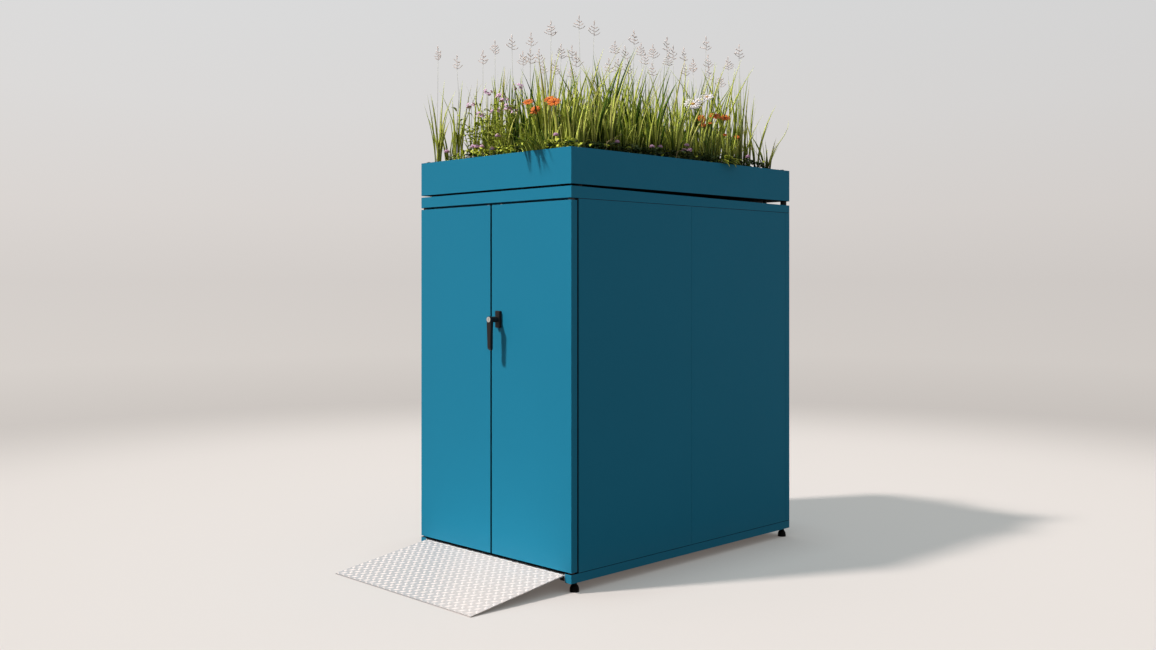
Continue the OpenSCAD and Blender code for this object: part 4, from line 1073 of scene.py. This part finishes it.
class STORAGEBOX_OT_flowers(bpy.types.Operator):
    """Plant the orange, white, lilac and purple flowers"""

    bl_idname = "storage_box.flowers"
    bl_label = "Plant the flowers"

    def execute(self, context):
        view = context.scene.storage_box.studio
        size = context.scene.storage_box.plants.flower
        green = leaf("flower_stem", (0.05, 0.10, 0.02), (0.16, 0.24, 0.05))
        for name, spots, petals, dark, light, eye in (
            ("orange_flowers", ORANGE_FLOWERS, 9, (0.62, 0.1, 0.005), (0.86, 0.23, 0.02), (0.3, 0.06, 0.01)),
            ("white_daisies", WHITE_DAISIES, 13, (0.86, 0.78, 0.78), (0.94, 0.91, 0.9), (0.62, 0.35, 0.1)),
        ):
            rng = random.Random(len(name))
            mesh = SheetMesh()
            for n, (u, v, look, scale) in enumerate(spots):
                head = spot_on_ray(view, u, v, (0.02, 0.08, 0.05)[n % 3], 0.02, 0.10, 0.45)
                stem_to(mesh, head - Vector(look).normalized() * 0.004, rng, 0.0016, 2)
                add_disc_flower(mesh, head, Vector(look), size * scale, petals, rng)
            petal = leaf(name + "_petal", dark, light, 0.5)
            mesh.build(name, petal, leaf(name + "_eye", eye, eye, 0.7), green)
        rng = random.Random(21)
        mesh = SheetMesh()
        for u, v in LILAC_SPRAYS:
            head = spot_on_ray(view, u, v, 0.1, 0.02, 0.06, 0.42)
            stem_to(mesh, head, rng, 0.0012, 2)
            for _ in range(6):
                a = rng.uniform(0, 2 * math.pi)
                at = head + Vector((0.015 * math.cos(a), 0.015 * math.sin(a), rng.uniform(-0.010, 0.010)))
                add_disc_flower(mesh, at, heading(a, 0.8), 0.013, 5, rng)
        petal = leaf("lilac_petal", (0.68, 0.36, 0.60), (0.90, 0.62, 0.82))
        mesh.build("lilac_flowers", petal, leaf("lilac_eye", (0.5, 0.4, 0.1), (0.6, 0.5, 0.2)), green)
        mesh = SheetMesh()
        for u, v in PURPLE_HEADS:
            self.add_purple(mesh, rng, spot_on_ray(view, u, v, 0.04, 0.012, 0.004, 0.16), 0.0115)
        for _ in range(LOOSE_PURPLE_HEADS):
            head = bed_spot(rng, 0.05)
            head.z = RIM_Z + rng.uniform(0.02, 0.10)
            self.add_purple(mesh, rng, head, 0.010)
        floret = leaf("purple_floret", (0.30, 0.10, 0.26), (0.70, 0.42, 0.60), 0.6)
        mesh.build("purple_flower_heads", floret, green)
        return {"FINISHED"}

    def add_purple(self, mesh, rng, head, radius):
        """A purple head on its stem."""
        stem_to(mesh, head, rng, 0.0014, 1, 0.012)
        add_ball(mesh, head, radius * rng.uniform(0.8, 1.1), rng.random())


class STORAGEBOX_OT_ground_cover(bpy.types.Operator):
    """Spread low leaves over the soil and raise the leafy herbs and the twigs"""

    bl_idname = "storage_box.ground_cover"
    bl_label = "Spread the ground cover"

    def execute(self, context):
        view = context.scene.storage_box.studio
        rng = random.Random(33)
        mesh = SheetMesh()
        for n in range(context.scene.storage_box.plants.leaflets):
            spot = self.leaf_spot(rng, n % 2)
            turn = rng.uniform(0, 2 * math.pi)
            high = HIGH_LEAVES[0] < column_of(view, spot) < HIGH_LEAVES[1]
            spot.z = SOIL_Z + rng.uniform(0.004, 0.048 if high else 0.014)
            out = heading(turn, rng.uniform(-0.15, 0.75))
            long = rng.uniform(0.016, 0.030)
            if not over_bed(spot + out.normalized() * long, 0.0):
                out = Vector((-out.x, -out.y, abs(out.z)))
            # Painted light: most leaves near the front edge take the lit copy, most farther back the shaded
            # one
            lit_share = 0.75 if spot.y < SOIL_LOW.y + 0.1 else 0.1
            width = rng.uniform(0.010, 0.018)
            tint = rng.random()
            add_leaf(mesh, spot, out, long, width, tint, int(rng.random() < lit_share), 3)
        # Leaves that hang over the rim; three in four take the lit copy
        over = bed_on_ray(view, HANGING_LEAVES, 0.0, 0.004)
        for k in range(12):
            out = Vector((0.9, rng.uniform(-0.8, 0.8), rng.uniform(-0.5, 0.6)))
            y = over.y + rng.uniform(-0.04, 0.04)
            start = Vector((over.x + 0.003, y, RIM_Z + rng.uniform(0.003, 0.022)))
            add_leaf(mesh, start, out, rng.uniform(0.028, 0.042), 0.020, rng.random(), int(k % 4 > 0), 5)
        # Painted light and shade: a near-black shaded copy and a lit copy of one leaf
        dark = leaf("low_leaf", (0.006, 0.016, 0.002), (0.045, 0.085, 0.008))
        light = leaf("low_leaf_young", (0.26, 0.35, 0.018), (0.80, 0.84, 0.10))
        mesh.build("ground_cover_leaves", dark, light)
        self.raise_herbs(view, rng, light)
        self.lay_twigs(view, rng)
        return {"FINISHED"}

    def leaf_spot(self, rng, at_edge):
        """A random spot of the bed, or one close to a side of it, more often one that the camera sees."""
        spot = bed_spot(rng, 0.004)
        if at_edge:
            side = rng.random()
            inset = rng.uniform(0.005, 0.05)
            if side < 0.25:
                spot.y = SOIL_LOW.y + inset
            elif side < 0.6:
                spot.x = SOIL_HIGH.x - inset
            elif side < 0.85:
                spot.x = SOIL_LOW.x + inset
            else:
                spot.y = SOIL_HIGH.y - inset
        return spot

    def raise_herbs(self, view, rng, light):
        herbs = SheetMesh()
        for n in range(HERBS):
            if n < HERBS_IN_COLUMNS:
                spot = bed_on_ray(view, rng.uniform(*HERB_COLUMNS), rng.uniform(0.0, 0.5))
                height = rng.uniform(0.12, 0.24)
            else:
                spot = bed_spot(rng, 0.09)
                height = rng.uniform(0.08, 0.18)
            turn = rng.uniform(0, 2 * math.pi)
            add_stem(herbs, [arc(spot, height, 0.05, turn, 0.05, t) for t in shares(5)], 0.0013, 0.5, 1)
            for k in range(9):
                at = arc(spot, height, 0.05, turn, 0.05, 0.25 + 0.75 * k / 8)
                out = heading(turn + 2.4 * k, rng.uniform(0.1, 0.6))
                long, wide = rng.uniform(0.018, 0.028), rng.uniform(0.009, 0.014)
                add_leaf(herbs, at, out, long, wide, rng.random(), 0, 3)
        herbs.build("herb_leaves", leaf("herb_leaf", (0.22, 0.31, 0.02), (0.60, 0.66, 0.10)), light)

    def lay_twigs(self, view, rng):
        twigs = SheetMesh()
        for ends in RIM_TWIGS:
            line = [spot_on_ray(view, *pixel, 0.0, 0.008, 0.003, 0.2) for pixel in ends]
            root = Vector((line[0].x - 0.01, line[0].y, SOIL_Z - TWIG_DEPTH))
            add_stem(twigs, [root, *line], 0.0014, 0.7)
        for _ in range(LOOSE_TWIGS):
            a = bed_spot(rng, 0.05)
            a.z = RIM_Z + rng.uniform(0.0, 0.02)
            turn = rng.uniform(0, 2 * math.pi)
            end = a + Vector((0.08 * math.cos(turn), 0.08 * math.sin(turn), rng.uniform(0.01, 0.05)))
            a.z = SOIL_Z - TWIG_DEPTH
            add_stem(twigs, [a, a.lerp(end, 0.5) + raised_by(0.012), end], 0.0017, rng.random())
        twigs.build("dry_twigs", leaf("dry_twig", (0.30, 0.20, 0.10), (0.52, 0.38, 0.22), 0.7))


class STORAGEBOX_OT_studio(bpy.types.Operator):
    """Lay the pale floor and curved backdrop, hang the lights and set the camera"""

    bl_idname = "storage_box.studio"
    bl_label = "Build the studio"

    def execute(self, context):
        scene = context.scene
        view = scene.storage_box.studio
        scene.view_settings.view_transform = "Standard"
        self.lay_floor(view)
        self.hang_lights(scene, view)
        camera = add_object("camera", bpy.data.cameras.new("camera"))
        camera.location = view.camera_at
        camera.rotation_euler = (math.pi / 2, 0.0, view.camera_turn)
        camera.data.sensor_width = SENSOR
        camera.data.sensor_fit = "HORIZONTAL"
        camera.data.lens = view.lens
        camera.data.shift_y = view.shift
        camera.data.clip_end = 100.0
        scene.camera = camera
        return {"FINISHED"}

    def lay_floor(self, view):
        """A round floor that bends up into a wall, as two objects, and the wall throws no shadow."""
        flat = FLOOR_RADIUS - FLOOR_BEND
        profile = [(r, 0.0) for r in (0.02, 1.0, 2.5, 4.5, flat)]
        for k in range(1, 13):
            a = math.pi / 2 * k / 12
            profile.append((flat + FLOOR_BEND * math.sin(a), FLOOR_BEND - FLOOR_BEND * math.cos(a)))
        profile += [(FLOOR_RADIUS, 2.0), (FLOOR_RADIUS, WALL_TOP)]
        sides = 96
        points = [(r * math.cos(a), r * math.sin(a), z) for r, z in profile for a in corners(sides)]
        for name, rows in (("studio_floor", range(4)), ("studio_backdrop", range(4, len(profile) - 1))):
            is_floor = rows[0] == 0
            faces = tube_faces(rows, sides)
            if is_floor:
                faces.append(tuple(range(sides)))
            made = add_object(name, smooth_mesh(name, points, faces, studio_surface(name, view, is_floor)))
            if not is_floor:
                made.visible_shadow = False
                made.visible_diffuse = False

    def hang_lights(self, scene, view):
        lamp = bpy.data.lights.new("sun", "SUN")
        lamp.energy = view.sun
        lamp.angle = view.sun_angle
        lamp.color = view.sun_colour
        sun = add_object("sun", lamp)
        sun.rotation_mode = "QUATERNION"
        sun.rotation_quaternion = Vector(SUNLIGHT).to_track_quat("-Z", "Y")
        scene.world = bpy.data.worlds.new("sky")
        sky = Graph(scene.world)
        way = sky.node("ShaderNodeTexCoord", output="Generated")
        up = sky.node("ShaderNodeSeparateXYZ", {0: way}, "Z")
        around = sky.mix(up.step(-0.06, 0.06), (0.05, 0.047, 0.045), tuple(view.sky))
        path = "ShaderNodeLightPath"
        seen = sky.node(path, output="Is Camera Ray") + sky.node(path, output="Is Glossy Ray")
        seen = (seen + sky.node(path, output="Is Transmission Ray")).clamp()
        overhead = sky.node("ShaderNodeBackground", {"Color": around, "Strength": 1.0})
        backdrop = sky.node("ShaderNodeBackground", {"Color": (0.66, 0.66, 0.66), "Strength": 1.0})
        both = sky.node("ShaderNodeMixShader", {0: seen, 1: overhead, 2: backdrop})
        sky.node("ShaderNodeOutputWorld", {0: both})


def studio_surface(name, view, is_floor):
    """Pale floor or backdrop: the floor takes shadows near the object and fades to the wall's own glow."""
    made = Graph(bpy.data.materials.new(name))
    x, y, z = (made.axis(letter) for letter in "XYZ")
    radius = (x * x + y * y) ** 0.5
    across = (RIGHTWARD[0] * x + RIGHTWARD[1] * y) / FLOOR_RADIUS
    wall_stops = [
        (0.0, (0.597, 0.558, 0.527)), (0.10, (0.655, 0.615, 0.582)), (0.28, (0.640, 0.603, 0.577)),
        (0.45, (0.680, 0.645, 0.622)), (0.7, (0.690, 0.676, 0.668)), (1.0, (0.685, 0.688, 0.692)),
    ]
    wall = made.mix((0.05 * across + 0.05).clamp(), made.ramp(z / 3.6, wall_stops), (0.0, 0.0, 0.0))
    glow = made.node("ShaderNodeEmission", {"Color": wall, "Strength": 1.05})
    if is_floor:
        far = tuple(c * k for c, k in zip(view.floor, (0.86, 0.85, 0.84)))
        lit = made.mix(radius.step(1.2, 5.5), tuple(view.floor), far)
        seen = made.node("ShaderNodeBsdfDiffuse", {"Color": lit})
        open_sky = made.node("ShaderNodeAmbientOcclusion", {"Distance": 0.28}, "AO", samples=8)
        haze = made.mix(open_sky, (0.090, 0.076, 0.067), tuple(view.floor_glow))
        haze = made.node("ShaderNodeEmission", {"Color": haze, "Strength": 1.0})
        seen = made.node("ShaderNodeAddShader", {0: seen, 1: haze})
        near = made.node("ShaderNodeMixShader", {0: radius.step(3.0, 5.6), 1: seen, 2: glow})
        bounce = made.node("ShaderNodeBsdfDiffuse", {"Color": (0.055, 0.052, 0.050)})
        diffuse = made.node("ShaderNodeLightPath", output="Is Diffuse Ray")
        glow = made.node("ShaderNodeMixShader", {0: diffuse, 1: near, 2: bounce})
    made.node("ShaderNodeOutputMaterial", {0: glow})
    return made.owner


class STORAGEBOX_PT_sidebar(bpy.types.Panel):
    """Lists the steps that dress the storage box"""

    bl_idname = "STORAGEBOX_PT_sidebar"
    bl_label = "Storage Box"
    bl_space_type = "VIEW_3D"
    bl_region_type = "UI"
    bl_category = "Storage Box"

    def draw(self, context):
        settings = context.scene.storage_box
        for group in (settings.colours, settings.plants, settings.studio):
            box = self.layout.box()
            for name in group.__annotations__:
                box.prop(group, name)
        for step in STEPS:
            self.layout.operator(step.bl_idname)


STEPS = (
    STORAGEBOX_OT_finishes,
    STORAGEBOX_OT_grass,
    STORAGEBOX_OT_seed_heads,
    STORAGEBOX_OT_flowers,
    STORAGEBOX_OT_ground_cover,
    STORAGEBOX_OT_studio,
)
CLASSES = (
    FinishColours, PlantingSizes, StudioSettings, StorageBoxSettings, *STEPS, STORAGEBOX_PT_sidebar,
)


def register():
    for made in CLASSES:
        bpy.utils.register_class(made)
    bpy.types.Scene.storage_box = bpy.props.PointerProperty(type=StorageBoxSettings)


def unregister():
    del bpy.types.Scene.storage_box
    for made in reversed(CLASSES):
        bpy.utils.unregister_class(made)


def main():
    register()
    for step in STEPS:
        group, name = step.bl_idname.split(".")
        getattr(getattr(bpy.ops, group), name)()


if __name__ == "__main__":
    main()
